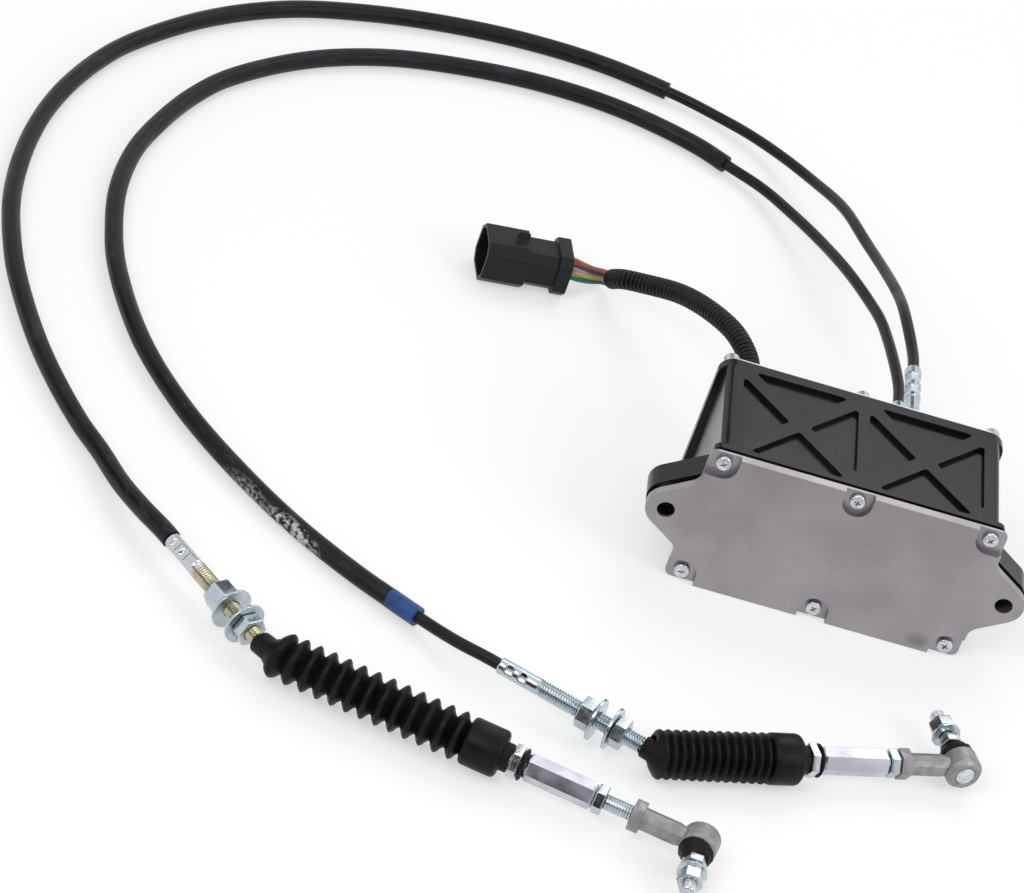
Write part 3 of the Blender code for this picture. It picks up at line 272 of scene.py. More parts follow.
def buildSpecks():
    # Small scattered spots of dust and lint.
    group, start, end = newGroup("specks", [
        ("Vector", "NodeSocketVector", None), ("Scale", "NodeSocketFloat", 400.0),
        ("Size", "NodeSocketFloat", 0.12), ("Share", "NodeSocketFloat", 0.55)], [("Mask", "NodeSocketFloat")])
    cells = group.nodes.new("ShaderNodeTexVoronoi")
    cells.inputs["Randomness"].default_value = 1
    dots = group.nodes.new("ShaderNodeMapRange")
    dots.inputs["To Min"].default_value = 1
    dots.inputs["To Max"].default_value = 0
    noise = group.nodes.new("ShaderNodeTexNoise")
    noise.inputs["Scale"].default_value = 90
    keep = group.nodes.new("ShaderNodeMath")
    keep.operation = "GREATER_THAN"
    both = group.nodes.new("ShaderNodeMath")
    both.operation = "MULTIPLY"
    group.links.new(start.outputs["Vector"], cells.inputs["Vector"])
    group.links.new(start.outputs["Vector"], noise.inputs["Vector"])
    group.links.new(start.outputs["Scale"], cells.inputs["Scale"])
    group.links.new(cells.outputs["Distance"], dots.inputs["Value"])
    group.links.new(start.outputs["Size"], dots.inputs["From Max"])
    group.links.new(noise.outputs[0], keep.inputs[0])
    group.links.new(start.outputs["Share"], keep.inputs[1])
    group.links.new(dots.outputs[0], both.inputs[0])
    group.links.new(keep.outputs[0], both.inputs[1])
    group.links.new(both.outputs[0], end.inputs["Mask"])
    return group


def buildScratches():
    # Thin rubbed lines along one way, broken up by patches.
    group, start, end = newGroup("scratches", [
        ("Vector", "NodeSocketVector", None), ("Stretch", "NodeSocketVector", None),
        ("Low", "NodeSocketFloat", 0.6), ("High", "NodeSocketFloat", 0.75)], [("Mask", "NodeSocketFloat")])
    pull = group.nodes.new("ShaderNodeVectorMath")
    pull.operation = "MULTIPLY"
    noise = group.nodes.new("ShaderNodeTexNoise")
    noise.inputs["Scale"].default_value = 1
    noise.inputs["Detail"].default_value = 2
    ramp = group.nodes.new("ShaderNodeMapRange")
    group.links.new(start.outputs["Vector"], pull.inputs[0])
    group.links.new(start.outputs["Stretch"], pull.inputs[1])
    group.links.new(pull.outputs[0], noise.inputs["Vector"])
    group.links.new(noise.outputs[0], ramp.inputs["Value"])
    group.links.new(start.outputs["Low"], ramp.inputs["From Min"])
    group.links.new(start.outputs["High"], ramp.inputs["From Max"])
    group.links.new(ramp.outputs[0], end.inputs["Mask"])
    return group


effects = {"blotches": buildBlotches(), "grain": buildGrain(), "specks": buildSpecks(), "scratches": buildScratches()}


def useEffect(tree, name, vector, **values):
    node = tree.nodes.new("ShaderNodeGroup")
    node.node_tree = effects[name]
    tree.links.new(vector, node.inputs["Vector"])
    for label, value in values.items():
        node.inputs[label].default_value = value
    return node


def mixed(tree, factor, first, second):
    # A colour mix whose ends are plain colours or sockets.
    mix = tree.nodes.new("ShaderNodeMix")
    mix.data_type = "RGBA"
    tree.links.new(factor, mix.inputs["Factor"])
    for slot, value in ((6, first), (7, second)):
        if isinstance(value, bpy.types.NodeSocket):
            tree.links.new(value, mix.inputs[slot])
        else:
            mix.inputs[slot].default_value = value
    return mix.outputs[2]


def scaled(tree, value, amount):
    times = tree.nodes.new("ShaderNodeMath")
    times.operation = "MULTIPLY"
    times.inputs[1].default_value = amount
    tree.links.new(value, times.inputs[0])
    return times.outputs[0]


def makeFinish(name, look):
    # One surface: two tones in patches, a grain, and if wanted scratches and specks.
    material = bpy.data.materials.new(name)
    material.use_nodes = True
    tree = material.node_tree
    surface = tree.nodes["Principled BSDF"]
    where = tree.nodes.new("ShaderNodeTexCoord").outputs["Object"]
    patch = useEffect(tree, "blotches", where, Scale=look.get("patchScale", 40), Low=look.get("patchLow", 0.4),
                      High=look.get("patchHigh", 0.62)).outputs["Mask"]
    color = mixed(tree, patch, look["color"], look["second"])
    if "scratch" in look:
        rubbed = useEffect(tree, "scratches", where, Stretch=look["stretch"], Low=0.56, High=0.72)
        color = mixed(tree, scaled(tree, rubbed.outputs["Mask"], look["scratch"]), color, look["scratchColor"])
    if "speck" in look:
        dust = useEffect(tree, "specks", where, Scale=look["speckScale"], Size=look["speck"],
                         Share=look.get("speckShare", 0.5))
        color = mixed(tree, scaled(tree, dust.outputs["Mask"], look.get("speckStrength", 0.6)), color,
                      look["speckColor"])
    tree.links.new(color, surface.inputs["Base Color"])
    gloss = tree.nodes.new("ShaderNodeMapRange")
    gloss.inputs["To Min"].default_value, gloss.inputs["To Max"].default_value = look["rough"]
    tree.links.new(patch, gloss.inputs["Value"])
    tree.links.new(gloss.outputs[0], surface.inputs["Roughness"])
    fine = useEffect(tree, "grain", where, Scale=look["grainScale"], Depth=look["grainDepth"])
    tree.links.new(fine.outputs["Normal"], surface.inputs["Normal"])
    surface.inputs["Metallic"].default_value = look.get("metal", 0.0)
    surface.inputs["Specular IOR Level"].default_value = look.get("specular", 0.5)
    if "coat" in look:
        surface.inputs["Coat Weight"].default_value = look["coat"]
        surface.inputs["Coat Roughness"].default_value = look.get("coatRough", 0.1)
    return material


looks = {
    "housingPlastic": {
        "color": tone(20, 21, 24), "second": tone(27, 28, 32), "patchScale": 22, "rough": (0.16, 0.26),
        "specular": 0.2,
        "grainScale": 1500, "grainDepth": 0.00003, "scratch": 0.16, "stretch": (260, 30, 30),
        "scratchColor": tone(58, 58, 62), "speck": 0.06, "speckScale": 260, "speckColor": tone(90, 90, 92)},
    "plateSteel": {
        "color": tone(163, 159, 163), "second": tone(156, 152, 156), "patchScale": 26, "rough": (0.36, 0.46),
        "metal": 1.0, "grainScale": 1400, "grainDepth": 0.00002, "scratch": 0.12, "stretch": (14, 500, 700),
        "scratchColor": tone(174, 170, 172), "speck": 0.05, "speckScale": 130, "speckColor": tone(120, 116, 118),
        "speckShare": 0.56},
    "gasketRubber": {
        "color": tone(14, 14, 15), "second": tone(22, 22, 23), "rough": (0.6, 0.8), "specular": 0.2,
        "grainScale": 700,
        "grainDepth": 0.00006},
    "backSteel": {
        "color": tone(205, 207, 210), "second": tone(184, 186, 190), "rough": (0.22, 0.34), "metal": 1.0,
        "grainScale": 1600, "grainDepth": 0.00002, "scratch": 0.3, "stretch": (30, 30, 500),
        "scratchColor": tone(226, 228, 230)},
    "screwZinc": {
        "color": tone(214, 217, 222), "second": tone(188, 192, 199), "patchScale": 220, "rough": (0.14, 0.28),
        "metal": 1.0, "grainScale": 2400, "grainDepth": 0.00002},
    "zincPlate": {
        "color": tone(190, 199, 205), "second": tone(176, 186, 193), "patchScale": 150, "rough": (0.16, 0.26),
        "metal": 1.0, "grainScale": 2000, "grainDepth": 0.00003, "speck": 0.08, "speckScale": 300,
        "speckColor": tone(112, 112, 118)},
    "lilacZinc": {
        "color": tone(205, 203, 214), "second": tone(186, 184, 196), "patchScale": 60, "rough": (0.24, 0.36),
        "metal": 1.0, "grainScale": 1800, "grainDepth": 0.00003, "scratch": 0.3, "stretch": (40, 300, 300),
        "scratchColor": tone(160, 158, 166), "speck": 0.07, "speckScale": 240, "speckColor": tone(82, 82, 88)},
    "yellowZinc": {
        "color": tone(198, 192, 168), "second": tone(184, 179, 158), "patchScale": 170, "rough": (0.18, 0.3),
        "metal": 1.0, "grainScale": 1800, "grainDepth": 0.00003},
    "castZinc": {
        "color": tone(156, 155, 157), "second": tone(142, 141, 143), "patchScale": 180, "rough": (0.4, 0.52),
        "metal": 0.85, "grainScale": 950, "grainDepth": 0.00016, "speck": 0.13, "speckScale": 520,
        "speckColor": tone(184, 184, 186), "speckStrength": 0.35},
    "bellowsRubber": {
        "color": tone(12, 12, 14), "second": tone(19, 19, 21), "patchScale": 90, "rough": (0.36, 0.5),
        "specular": 0.16,
        "grainScale": 1100, "grainDepth": 0.00005, "speck": 0.05, "speckScale": 240, "speckColor": tone(96, 96, 100)},
    "bootRubber": {
        "color": tone(14, 14, 15), "second": tone(21, 21, 22), "patchScale": 160, "rough": (0.4, 0.55),
        "specular": 0.18,
        "grainScale": 1300, "grainDepth": 0.00006, "speck": 0.11, "speckScale": 420,
        "speckColor": tone(188, 188, 190),
        "speckShare": 0.52},
    "leadPlastic": {
        "color": tone(16, 16, 18), "second": tone(24, 24, 26), "patchScale": 60, "rough": (0.34, 0.46),
        "specular": 0.22,
        "grainScale": 1300, "grainDepth": 0.00004},
    "conduitPlastic": {
        "color": tone(22, 22, 25), "second": tone(30, 30, 34), "patchScale": 36, "rough": (0.32, 0.46),
        "specular": 0.2,
        "grainScale": 1200, "grainDepth": 0.00004, "scratch": 0.2, "stretch": (120, 120, 500),
        "scratchColor": tone(78, 78, 82)},
    "sleevePlastic": {
        "color": tone(20, 20, 25), "second": tone(28, 28, 34), "patchScale": 30, "rough": (0.34, 0.48),
        "specular": 0.2,
        "grainScale": 1000, "grainDepth": 0.00005, "scratch": 0.22, "stretch": (90, 90, 420),
        "scratchColor": tone(84, 84, 90), "speck": 0.06, "speckScale": 190, "speckColor": tone(150, 150, 154)},
    "blueTape": {
        "color": tone(26, 74, 142), "second": tone(19, 58, 118), "patchScale": 120, "rough": (0.38, 0.5),
        "grainScale": 1400, "grainDepth": 0.00005},
    "plugPlastic": {
        "color": tone(24, 25, 28), "second": tone(31, 32, 35), "patchScale": 60, "rough": (0.34, 0.46),
        "specular": 0.22,
        "grainScale": 1500, "grainDepth": 0.00004, "speck": 0.05, "speckScale": 300,
        "speckColor": tone(110, 110, 112)},
    "motorSteel": {
        "color": tone(150, 152, 156), "second": tone(128, 130, 136), "rough": (0.3, 0.42), "metal": 1.0,
        "grainScale": 1400, "grainDepth": 0.00004},
    "sensorPlastic": {
        "color": tone(42, 70, 110), "second": tone(34, 58, 94), "rough": (0.42, 0.55), "grainScale": 1200,
        "grainDepth": 0.00004},
    "gearBrass": {
        "color": tone(196, 160, 92), "second": tone(168, 134, 74), "rough": (0.28, 0.4), "metal": 1.0,
        "grainScale": 1400, "grainDepth": 0.00004},
}
wireTones = {
    "orange": (tone(196, 108, 66), tone(178, 92, 54)), "brown": (tone(118, 66, 72), tone(96, 54, 60)),
    "white": (tone(206, 198, 204), tone(188, 180, 188)), "yellow": (tone(206, 186, 120), tone(188, 166, 100)),
    "teal": (tone(30, 124, 112), tone(24, 104, 94)),
}
for wire, (pale, deep) in wireTones.items():
    looks[f"{wire}Wire"] = {"color": pale, "second": deep, "patchScale": 70, "rough": (0.34, 0.46),
                            "grainScale": 1400, "grainDepth": 0.00002}
finishes = {name: makeFinish(name, look) for name, look in looks.items()}


def addScuff(name, centre, radii, turn, color, strength, rough, full):
    # A worn patch on one finish: a soft spot at a place, broken up by scratches.
    tree = finishes[name].node_tree
    surface = tree.nodes["Principled BSDF"]
    where = tree.nodes.new("ShaderNodeTexCoord").outputs["Object"]
    mapping = tree.nodes.new("ShaderNodeMapping")
    mapping.vector_type = "TEXTURE"
    mapping.inputs["Location"].default_value = centre
    mapping.inputs["Rotation"].default_value = (0, 0, math.radians(turn))
    mapping.inputs["Scale"].default_value = radii
    distance = tree.nodes.new("ShaderNodeVectorMath")
    distance.operation = "LENGTH"
    tree.links.new(where, mapping.inputs["Vector"])
    tree.links.new(mapping.outputs[0], distance.inputs[0])
    near = tree.nodes.new("ShaderNodeMapRange")
    near.inputs["From Min"].default_value, near.inputs["From Max"].default_value = 1.0, full
    tree.links.new(distance.outputs["Value"], near.inputs["Value"])
    both = tree.nodes.new("ShaderNodeMath")
    both.operation = "MULTIPLY"
    both.inputs[1].default_value = 1
    tree.links.new(near.outputs[0], both.inputs[0])
    if rough:
        broken = useEffect(tree, "scratches", where, Stretch=rough, Low=0.42, High=0.62)
        tree.links.new(broken.outputs["Mask"], both.inputs[1])
    before = surface.inputs["Base Color"].links[0].from_socket
    tree.links.new(mixed(tree, scaled(tree, both.outputs[0], strength), before, color), surface.inputs["Base Color"])


scuffs = [
    # the dull stain on the cover plate
    ("plateSteel", spot(60, -4, 7), (0.008, 0.05, 0.007), 0, tone(112, 109, 112), 0.8, (30, 30, 60), 0.4),
    # the pale rub on the outer sleeve of cable B, faint at first and then strong
    ("sleevePlastic", spot(-318.8, -38.1, 5), (0.0260, 0.0042, 0.006), -45.4, tone(190, 190, 196), 0.85,
     (420, 420, 500), 0.5),
    ("sleevePlastic", spot(-291.8, -62.8, 5), (0.0246, 0.0046, 0.007), -38.9, tone(222, 222, 226), 0.95,
     (300, 300, 380), 0.7),
    # the crimped tail of fitting A is bright, its thread yellowish
    ("yellowZinc", spot(-346.6, -122.3, 14.6), (0.0145, 0.03, 0.03), -48.9, tone(196, 200, 205), 1.0, None, 0.96),
]
for scuff in scuffs:
    addScuff(*scuff)

print("stage: cords")


def smoothRoute(points):
    # A dense line through the route's points, with its running length.
    spots = np.array(points, float)
    spots = np.vstack([2 * spots[0] - spots[1], spots, 2 * spots[-1] - spots[-2]])
    knots = np.concatenate([[0], np.cumsum(np.sqrt(np.linalg.norm(np.diff(spots, axis=0), axis=1)))])
    path = []
    for first in range(len(spots) - 3):
        k0, k1, k2, k3 = knots[first:first + 4]
        p0, p1, p2, p3 = spots[first:first + 4]
        for place in np.linspace(k1, k2, 12, endpoint=False):
            a1 = ((k1 - place) * p0 + (place - k0) * p1) / (k1 - k0)
            a2 = ((k2 - place) * p1 + (place - k1) * p2) / (k2 - k1)
            a3 = ((k3 - place) * p2 + (place - k2) * p3) / (k3 - k2)
            b1 = ((k2 - place) * a1 + (place - k0) * a2) / (k2 - k0)
            b2 = ((k3 - place) * a2 + (place - k1) * a3) / (k3 - k1)
            path.append(((k2 - place) * b1 + (place - k1) * b2) / (k2 - k1))
    path.append(spots[-2])
    path = np.array(path)
    return path, np.concatenate([[0], np.cumsum(np.linalg.norm(np.diff(path, axis=0), axis=1))])


def alongRoute(route, start, end, step):
    # Points every few millimetres between two lengths of a route.
    path, run = smoothRoute(route)
    end = run[-1] + end if end <= 0 else end
    stops = np.linspace(start, end, max(4, round((end - start) / step)) + 1)
    line = np.column_stack([np.interp(stops, run, path[:, k]) for k in range(3)])
    return [spot(*p) for p in line], (end - start) / 1000


def cordCurve(name, points, radius, finish):
    curve = bpy.data.curves.new(name, "CURVE")
    curve.dimensions = "3D"
    curve.bevel_depth = radius / 1000
    curve.bevel_resolution = 5
    curve.use_fill_caps = True
    line = curve.splines.new("POLY")
    line.points.add(len(points) - 1)
    for point, place in zip(line.points, points):
        point.co = (*place, 1)
    line.use_smooth = True
    curve.materials.append(finishes[finish])
    obj = bpy.data.objects.new(name, curve)
    bpy.context.scene.collection.objects.link(obj)
    return obj


cables = {
    "gap": 0.3, "conduit": 3.35, "sleeve": 5.45, "band": 5.6, "sleeveStartA": 391.0, "sleeveStartB": 295.0,
    "bandStart": 1175.0, "bandEnd": 1195.0,
    "routeA": [
        (33, 156, 71), (33, 170, 71), (27, 213, 71), (25, 243, 63), (21, 276, 53), (11, 323, 41),
        (-1, 369, 31), (-17, 410, 18), (-36, 437, 12), (-57, 458, 8), (-80, 472, 6), (-104, 481, 6),
        (-153, 492, 6), (-203, 493, 6), (-253, 486, 6), (-303, 472, 6), (-352, 450, 6), (-398, 414, 6),
        (-440, 363, 6), (-457, 332, 6), (-472, 292, 6), (-481, 252, 6), (-485, 208, 6), (-484, 167, 6),
        (-478, 129, 6), (-469, 93, 6), (-446, 32, 6), (-418, -20, 6), (-402, -44, 7), (-388, -69, 9.3),
        (-374, -90, 12.6), (-360.6, -106.2, 14.6), (-355.4, -112.2, 14.6)],
    "routeB": [
        (33, 156, 45), (33, 175, 45), (30, 201, 44), (23, 244, 40), (17, 267, 36), (4, 303, 30),
        (-11, 341, 21), (-28, 375, 13), (-47, 402, 8), (-69, 419, 6), (-91, 432, 6), (-139, 447, 6),
        (-188, 450, 6), (-238, 443, 6), (-287, 428, 6), (-334, 400, 6), (-378, 356, 6), (-397, 325, 6),
        (-412, 289, 6), (-423, 251, 6), (-427, 209, 6), (-424, 168, 6), (-417, 131, 6), (-394, 68, 6),
        (-363, 17, 6), (-329, -23, 6), (-291, -59, 6), (-254, -86, 6), (-235, -98, 6.4),
        (-215, -112, 8), (-196, -127, 12), (-179.5, -136.5, 14.6), (-172.1, -139.6, 14.6)],
}


def layCable(name, node, route, start, end, radius, finish):
    points, length = alongRoute(cables[route], start, end, 5.0)
    cable = cordCurve(name, points, radius, finish)
    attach(cable, "base")
    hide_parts(node)
    return cable


def layCables():
    gap = cables["gap"]
    thin, thick = cables["conduit"], cables["sleeve"]
    layCable("cableAThin", "cable_a_conduit", "routeA", gap, cables["sleeveStartA"], thin, "conduitPlastic")
    layCable("cableAThick", "cable_a_sleeve", "routeA", cables["sleeveStartA"] + gap, -gap, thick, "sleevePlastic")
    layCable("cableBThin", "cable_b_conduit", "routeB", gap, cables["sleeveStartB"], thin, "conduitPlastic")
    bandPoints, _ = alongRoute(cables["routeB"], cables["bandStart"] + gap, cables["bandEnd"], 3.0)
    band = cordCurve("blueBand", bandPoints, cables["band"], "blueTape")
    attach(band, "base")
    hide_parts("cable_b_band")
    layCable("cableBThick", "cable_b_sleeve", "routeB", cables["sleeveStartB"] + gap, cables["bandStart"], thick,
             "sleevePlastic")
    layCable("cableBEnd", "cable_b_end", "routeB", cables["bandEnd"] + gap, -gap, thin, "conduitPlastic")


def deselectAll():
    if bpy.context.object and bpy.context.object.mode != "OBJECT":
        bpy.ops.object.mode_set(mode="OBJECT")
    bpy.ops.object.select_all(action="DESELECT")


def takeUp(obj):
    deselectAll()
    obj.select_set(True)
    bpy.context.view_layer.objects.active = obj


def applyPlace(obj, matrix):
    # Turns and moves the mesh itself, so that the object stays at the origin.
    obj.matrix_world = Matrix.Identity(4)
    obj.data.transform(matrix)


def finishPiece(obj, finish, body, replaced=(), angle=32, weighted=False):
    takeUp(obj)
    obj.data.materials.clear()
    obj.data.materials.append(finishes[finish])
    bpy.ops.object.shade_smooth_by_angle(angle=math.radians(angle))
    if weighted:
        even = obj.modifiers.new("evenShade", "WEIGHTED_NORMAL")
        even.keep_sharp = True
        even.weight = 80
        bpy.ops.object.modifier_apply(modifier=even.name)
    if body:
        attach(obj, body)
    if replaced:
        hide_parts(*replaced)
    return obj


def tubeMesh(name, stations, sides, loop=False):
    # Rings of points round a line: each station is a centre, a direction and a radius, or a radius by angle.
    verts, faces = [], []
    side = None
    for centre, line, radius in stations:
        line = Vector(line).normalized()
        side = Vector((0, 0, 1)) if side is None else side
        side = (side - line * side.dot(line)).normalized()
        across = line.cross(side)
        for k in range(sides):
            angle = math.tau * k / sides
            reach = radius(angle) if callable(radius) else radius
            verts.append(Vector(centre) + (side * math.cos(angle) + across * math.sin(angle)) * reach)
    count = len(stations)
    for ring in range(count if loop else count - 1):
        low = ring * sides
        high = (ring + 1) % count * sides
        for k in range(sides):
            nextK = (k + 1) % sides
            faces.append((low + k, low + nextK, high + nextK, high + k))
    if not loop:
        faces.append(tuple(reversed(range(sides))))
        faces.append(tuple(range((len(stations) - 1) * sides, len(stations) * sides)))
    mesh = bpy.data.meshes.new(name)
    mesh.from_pydata([tuple(v) for v in verts], [], faces)
    mesh.update()
    obj = bpy.data.objects.new(name, mesh)
    bpy.context.scene.collection.objects.link(obj)
    return obj


lead = {
    "radius": 6.0, "valley": 4.5, "pitch": 3.6, "wire": 1.45, "wall": 1.0, "mouth": 6.0, "sides": 28,
    # one rib: how far along its pitch, and how far from valley to crest
    "rib": [(0.0, 0), (0.16, 0.02), (0.26, 0.7), (0.4, 0.97), (0.58, 1), (0.74, 0.93), (0.88, 0.6)],
    "route": [
        (-62, 105.3, 70), (-62.4, 114, 70), (-64.2, 125, 70), (-68.4, 137, 69.8), (-73.5, 150, 67.8),
        (-84.7, 172.6, 61), (-100.2, 204.6, 46), (-118.1, 230.3, 29), (-129.5, 242.6, 19.9), (-134.3, 253, 11)],
    "wires": [
        (-134.5, 253.7, 10.4), (-135.4, 257.5, 7.4), (-139, 260, 6.2), (-144, 257, 7.4),
        (-149.5, 252, 10.4), (-154.5, 248.6, 12.8), (-158, 247.3, 14.0), (-162, 246.6, 14.3)],
    # colour, height in the bundle at the tube and at the plug, and depth
    "spread": [
        ("orange", 3.0, 5.4, 0.4), ("brown", 1.5, 3.0, -0.9), ("white", 0.2, 0.6, 0.9), ("yellow", -1.3, -2.2, -0.2),
        ("teal", -2.8, -5.2, 0.5)],
}


def buildLead():
    # The corrugated tube, and the five wires that come out of it.
    path, run = smoothRoute(lead["route"])
    total = run[-1]
    turns = round(total / lead["pitch"])
    pitch = total / turns
    stations = []
    fine = []
    for turn in range(turns):
        for share, rise in lead["rib"]:
            fine.append(((turn + share) * pitch, lead["valley"] + (lead["radius"] - lead["valley"]) * rise))
    fine.append((total, lead["valley"]))
    fine.append((total, lead["valley"] - lead["wall"]))
    fine.append((total - lead["mouth"], lead["valley"] - lead["wall"]))
    for along, radius in fine:
        centre = [float(np.interp(along, run, path[:, k])) for k in range(3)]
        ahead = [float(np.interp(min(along + 1.5, total), run, path[:, k])) for k in range(3)]
        behind = [float(np.interp(max(along - 1.5, 0), run, path[:, k])) for k in range(3)]
        stations.append((spot(*centre), spot(*ahead) - spot(*behind), radius / 1000))
    tube = tubeMesh("leadTube", stations, lead["sides"])
    finishPiece(tube, "leadPlastic", "base", ["lead_tube"], 60)
    points, length = alongRoute(lead["route"], 0, 0, 4.0)
    wirePath, wireRun = smoothRoute(lead["wires"])
    upwards = Vector((-0.27, 0.58, 0.77))
    for number, (color, begin, finish, depth) in enumerate(lead["spread"]):
        stops = np.linspace(0, wireRun[-1], 22)
        line = []
        for stop in stops:
            centre = Vector([float(np.interp(stop, wireRun, wirePath[:, k])) for k in range(3)])
            ahead = Vector([float(np.interp(min(stop + 3, wireRun[-1]), wireRun, wirePath[:, k])) for k in range(3)])
            behind = Vector([float(np.interp(max(stop - 3, 0), wireRun, wirePath[:, k])) for k in range(3)])
            run1 = (ahead - behind).normalized()
            share = stop / wireRun[-1]
            rise = begin + (finish - begin) * share * share * (3 - 2 * share)
            up = (upwards - run1 * run1.dot(upwards)).normalized()
            centre = centre + up * rise + run1.cross(up) * depth
            centre.z = max(centre.z, lead["wire"] + 0.1)
            line.append(spot(*centre))
        wire = cordCurve(f"{color}Lead", line, lead["wire"], f"{color}Wire")
        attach(wire, "base")
        if number == 0:
            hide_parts("lead_wires")
        length = sum((b - a).length for a, b in zip(line, line[1:]))


print("stage: pieces with rounded edges")


def roundedCopy(node, name, width, finish, segments=2, limit=28, angle=40):
    # A copy of a solid, merged, with its sharp edges rounded off.
    mesh = nodes[node].data.copy()
    obj = bpy.data.objects.new(name, mesh)
    bpy.context.scene.collection.objects.link(obj)
    takeUp(obj)
    if mesh.has_custom_normals:
        bpy.ops.mesh.customdata_custom_splitnormals_clear()
    bpy.ops.object.mode_set(mode="EDIT")
    bpy.ops.mesh.select_all(action="SELECT")
    bpy.ops.mesh.remove_doubles(threshold=0.00002)
    bpy.ops.mesh.dissolve_limited(angle_limit=math.radians(0.6))
    bpy.ops.object.mode_set(mode="OBJECT")
    if width:
        bevel = obj.modifiers.new("edges", "BEVEL")
        bevel.width = width / 1000
        bevel.segments = segments
        bevel.limit_method = "ANGLE"
        bevel.angle_limit = math.radians(limit)
        bevel.use_clamp_overlap = True
        bevel.harden_normals = False
        bpy.ops.object.modifier_apply(modifier=bevel.name)
    evened = not node.startswith(("rod_end", "dust_boot", "ball_stud"))
    return finishPiece(obj, finish, nodes[node]["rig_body"], [node], angle, evened)


rounding = [
    # node, new piece, edge radius in mm, finish, slot
    ("housing", "housingShell", 0.45, "housingPlastic", "black_plastic"),
    ("cover_plate", "coverPlate", 0.5, "plateSteel", "stainless"),
    ("cover_gasket", "coverSeal", 0.25, "gasketRubber", "gasket"),
    ("back_plate", "backPlate", 0.25, "backSteel", "stainless"),
    ("lead_grommet", "leadCollar", 0.4, "leadPlastic", "rubber"),
    ("ferrule_a", "ferruleUpper", 0.35, "zincPlate", "zinc"),
    ("ferrule_b", "ferruleLower", 0.35, "zincPlate", "zinc"),
    ("lead_plug", "plugShell", 0.5, "plugPlastic", "black_plastic"),
]
for side in "ab":
    cap = side.upper()
    rounding += [
        (f"clamp_nut_{side}1", f"clampNut{cap}1", 0.45, "zincPlate", "zinc"),
        (f"clamp_nut_{side}2", f"clampNut{cap}2", 0.45, "zincPlate", "zinc"),
        (f"washer_{side}1", f"washer{cap}1", 0.3, "zincPlate", "zinc"),
        (f"washer_{side}2", f"washer{cap}2", 0.3, "zincPlate", "zinc"),
        (f"bellows_nut_{side}", f"bellowsNut{cap}", 0.5, "screwZinc", "zinc"),
        (f"seal_ring_{side}", f"sealRing{cap}", 0.2, "bootRubber", "rubber"),
        (f"hex_coupler_{side}", f"hexCoupler{cap}", 0.3, "lilacZinc", "zinc"),
        (f"rod_nut_{side}", f"rodNut{cap}", 0.4, "zincPlate", "zinc"),
        (f"rod_end_{side}", f"rodEnd{cap}", 0.35, "castZinc", "cast_zinc"),
        (f"dust_boot_{side}", f"dustBoot{cap}", 0.3, "bootRubber", "rubber"),
        (f"ball_stud_{side}", f"ballStud{cap}", 0.3, "zincPlate", "zinc"),
        (f"stud_nut_{side}", f"studNut{cap}", 0.35, "zincPlate", "zinc"),
    ]
for node, name, width, finish, slotName in rounding:
    roundedCopy(node, name, width, finish)

insidePieces = {
    "gearmotor": "motorSteel", "position_sensor": "sensorPlastic", "drive_pinion": "gearBrass",
    "crank_shaft": "motorSteel", "yoke_a": "zincPlate", "yoke_b": "zincPlate", "swivel_tube_a": "zincPlate",
    "swivel_tube_b": "zincPlate", "push_rod_a": "zincPlate", "push_rod_b": "zincPlate",
}
for node, finish in insidePieces.items():
    for place in nodes[node].material_slots:
        place.material = finishes[finish]

print("stage: cover screws")
panScrew = {"radius": 4.5, "height": 2.6, "dome": 1.3, "cross": 5.2, "blade": 1.1, "sink": 1.7,
            "turns": [12, 40, 64, 28, 75, 50]}


def buildPanScrew():
    # a domed head with a cross recess, its axis up, its seat at zero
    deselectAll()
    bpy.ops.mesh.primitive_cylinder_add(vertices=48, radius=panScrew["radius"] / 1000,
                                        depth=panScrew["height"] / 1000,
                                        location=(0, 0, panScrew["height"] / 2000))
    head = bpy.context.object
    bpy.ops.object.transform_apply(location=True)
    bpy.ops.object.mode_set(mode="EDIT")
    bpy.ops.mesh.select_all(action="DESELECT")
    bpy.ops.object.mode_set(mode="OBJECT")
    top = panScrew["height"] / 1000
    for edge in head.data.edges:
        edge.select = all(abs(head.data.vertices[v].co.z - top) < 1e-6 for v in edge.vertices)
    bpy.ops.object.mode_set(mode="EDIT")
    bpy.ops.mesh.select_mode(type="EDGE")
    bpy.ops.mesh.bevel(offset=panScrew["dome"] / 1000, segments=6, profile=0.55)
    bpy.ops.object.mode_set(mode="OBJECT")
    for turn in (0, 90):
        takeUp(head)
        bpy.ops.mesh.primitive_cube_add(size=1, location=(0, 0, top))
        blade = bpy.context.object
        blade.scale = (panScrew["cross"] / 1000, panScrew["blade"] / 1000, panScrew["sink"] * 2 / 1000)
        blade.rotation_euler = (0, 0, math.radians(turn))
        bpy.ops.object.transform_apply(location=True, rotation=True, scale=True)
        for vertex in blade.data.vertices:  # the blade narrows towards its bottom
            if vertex.co.z < top:
                vertex.co.x *= 0.45
                vertex.co.y *= 0.45 if turn else 1
                if not turn:
                    vertex.co.y *= 0.7
        takeUp(head)
        cut = head.modifiers.new("recess", "BOOLEAN")
        cut.object = blade
        cut.solver = "EXACT"
        bpy.ops.object.modifier_apply(modifier=cut.name)
        bpy.data.objects.remove(blade)
    return head


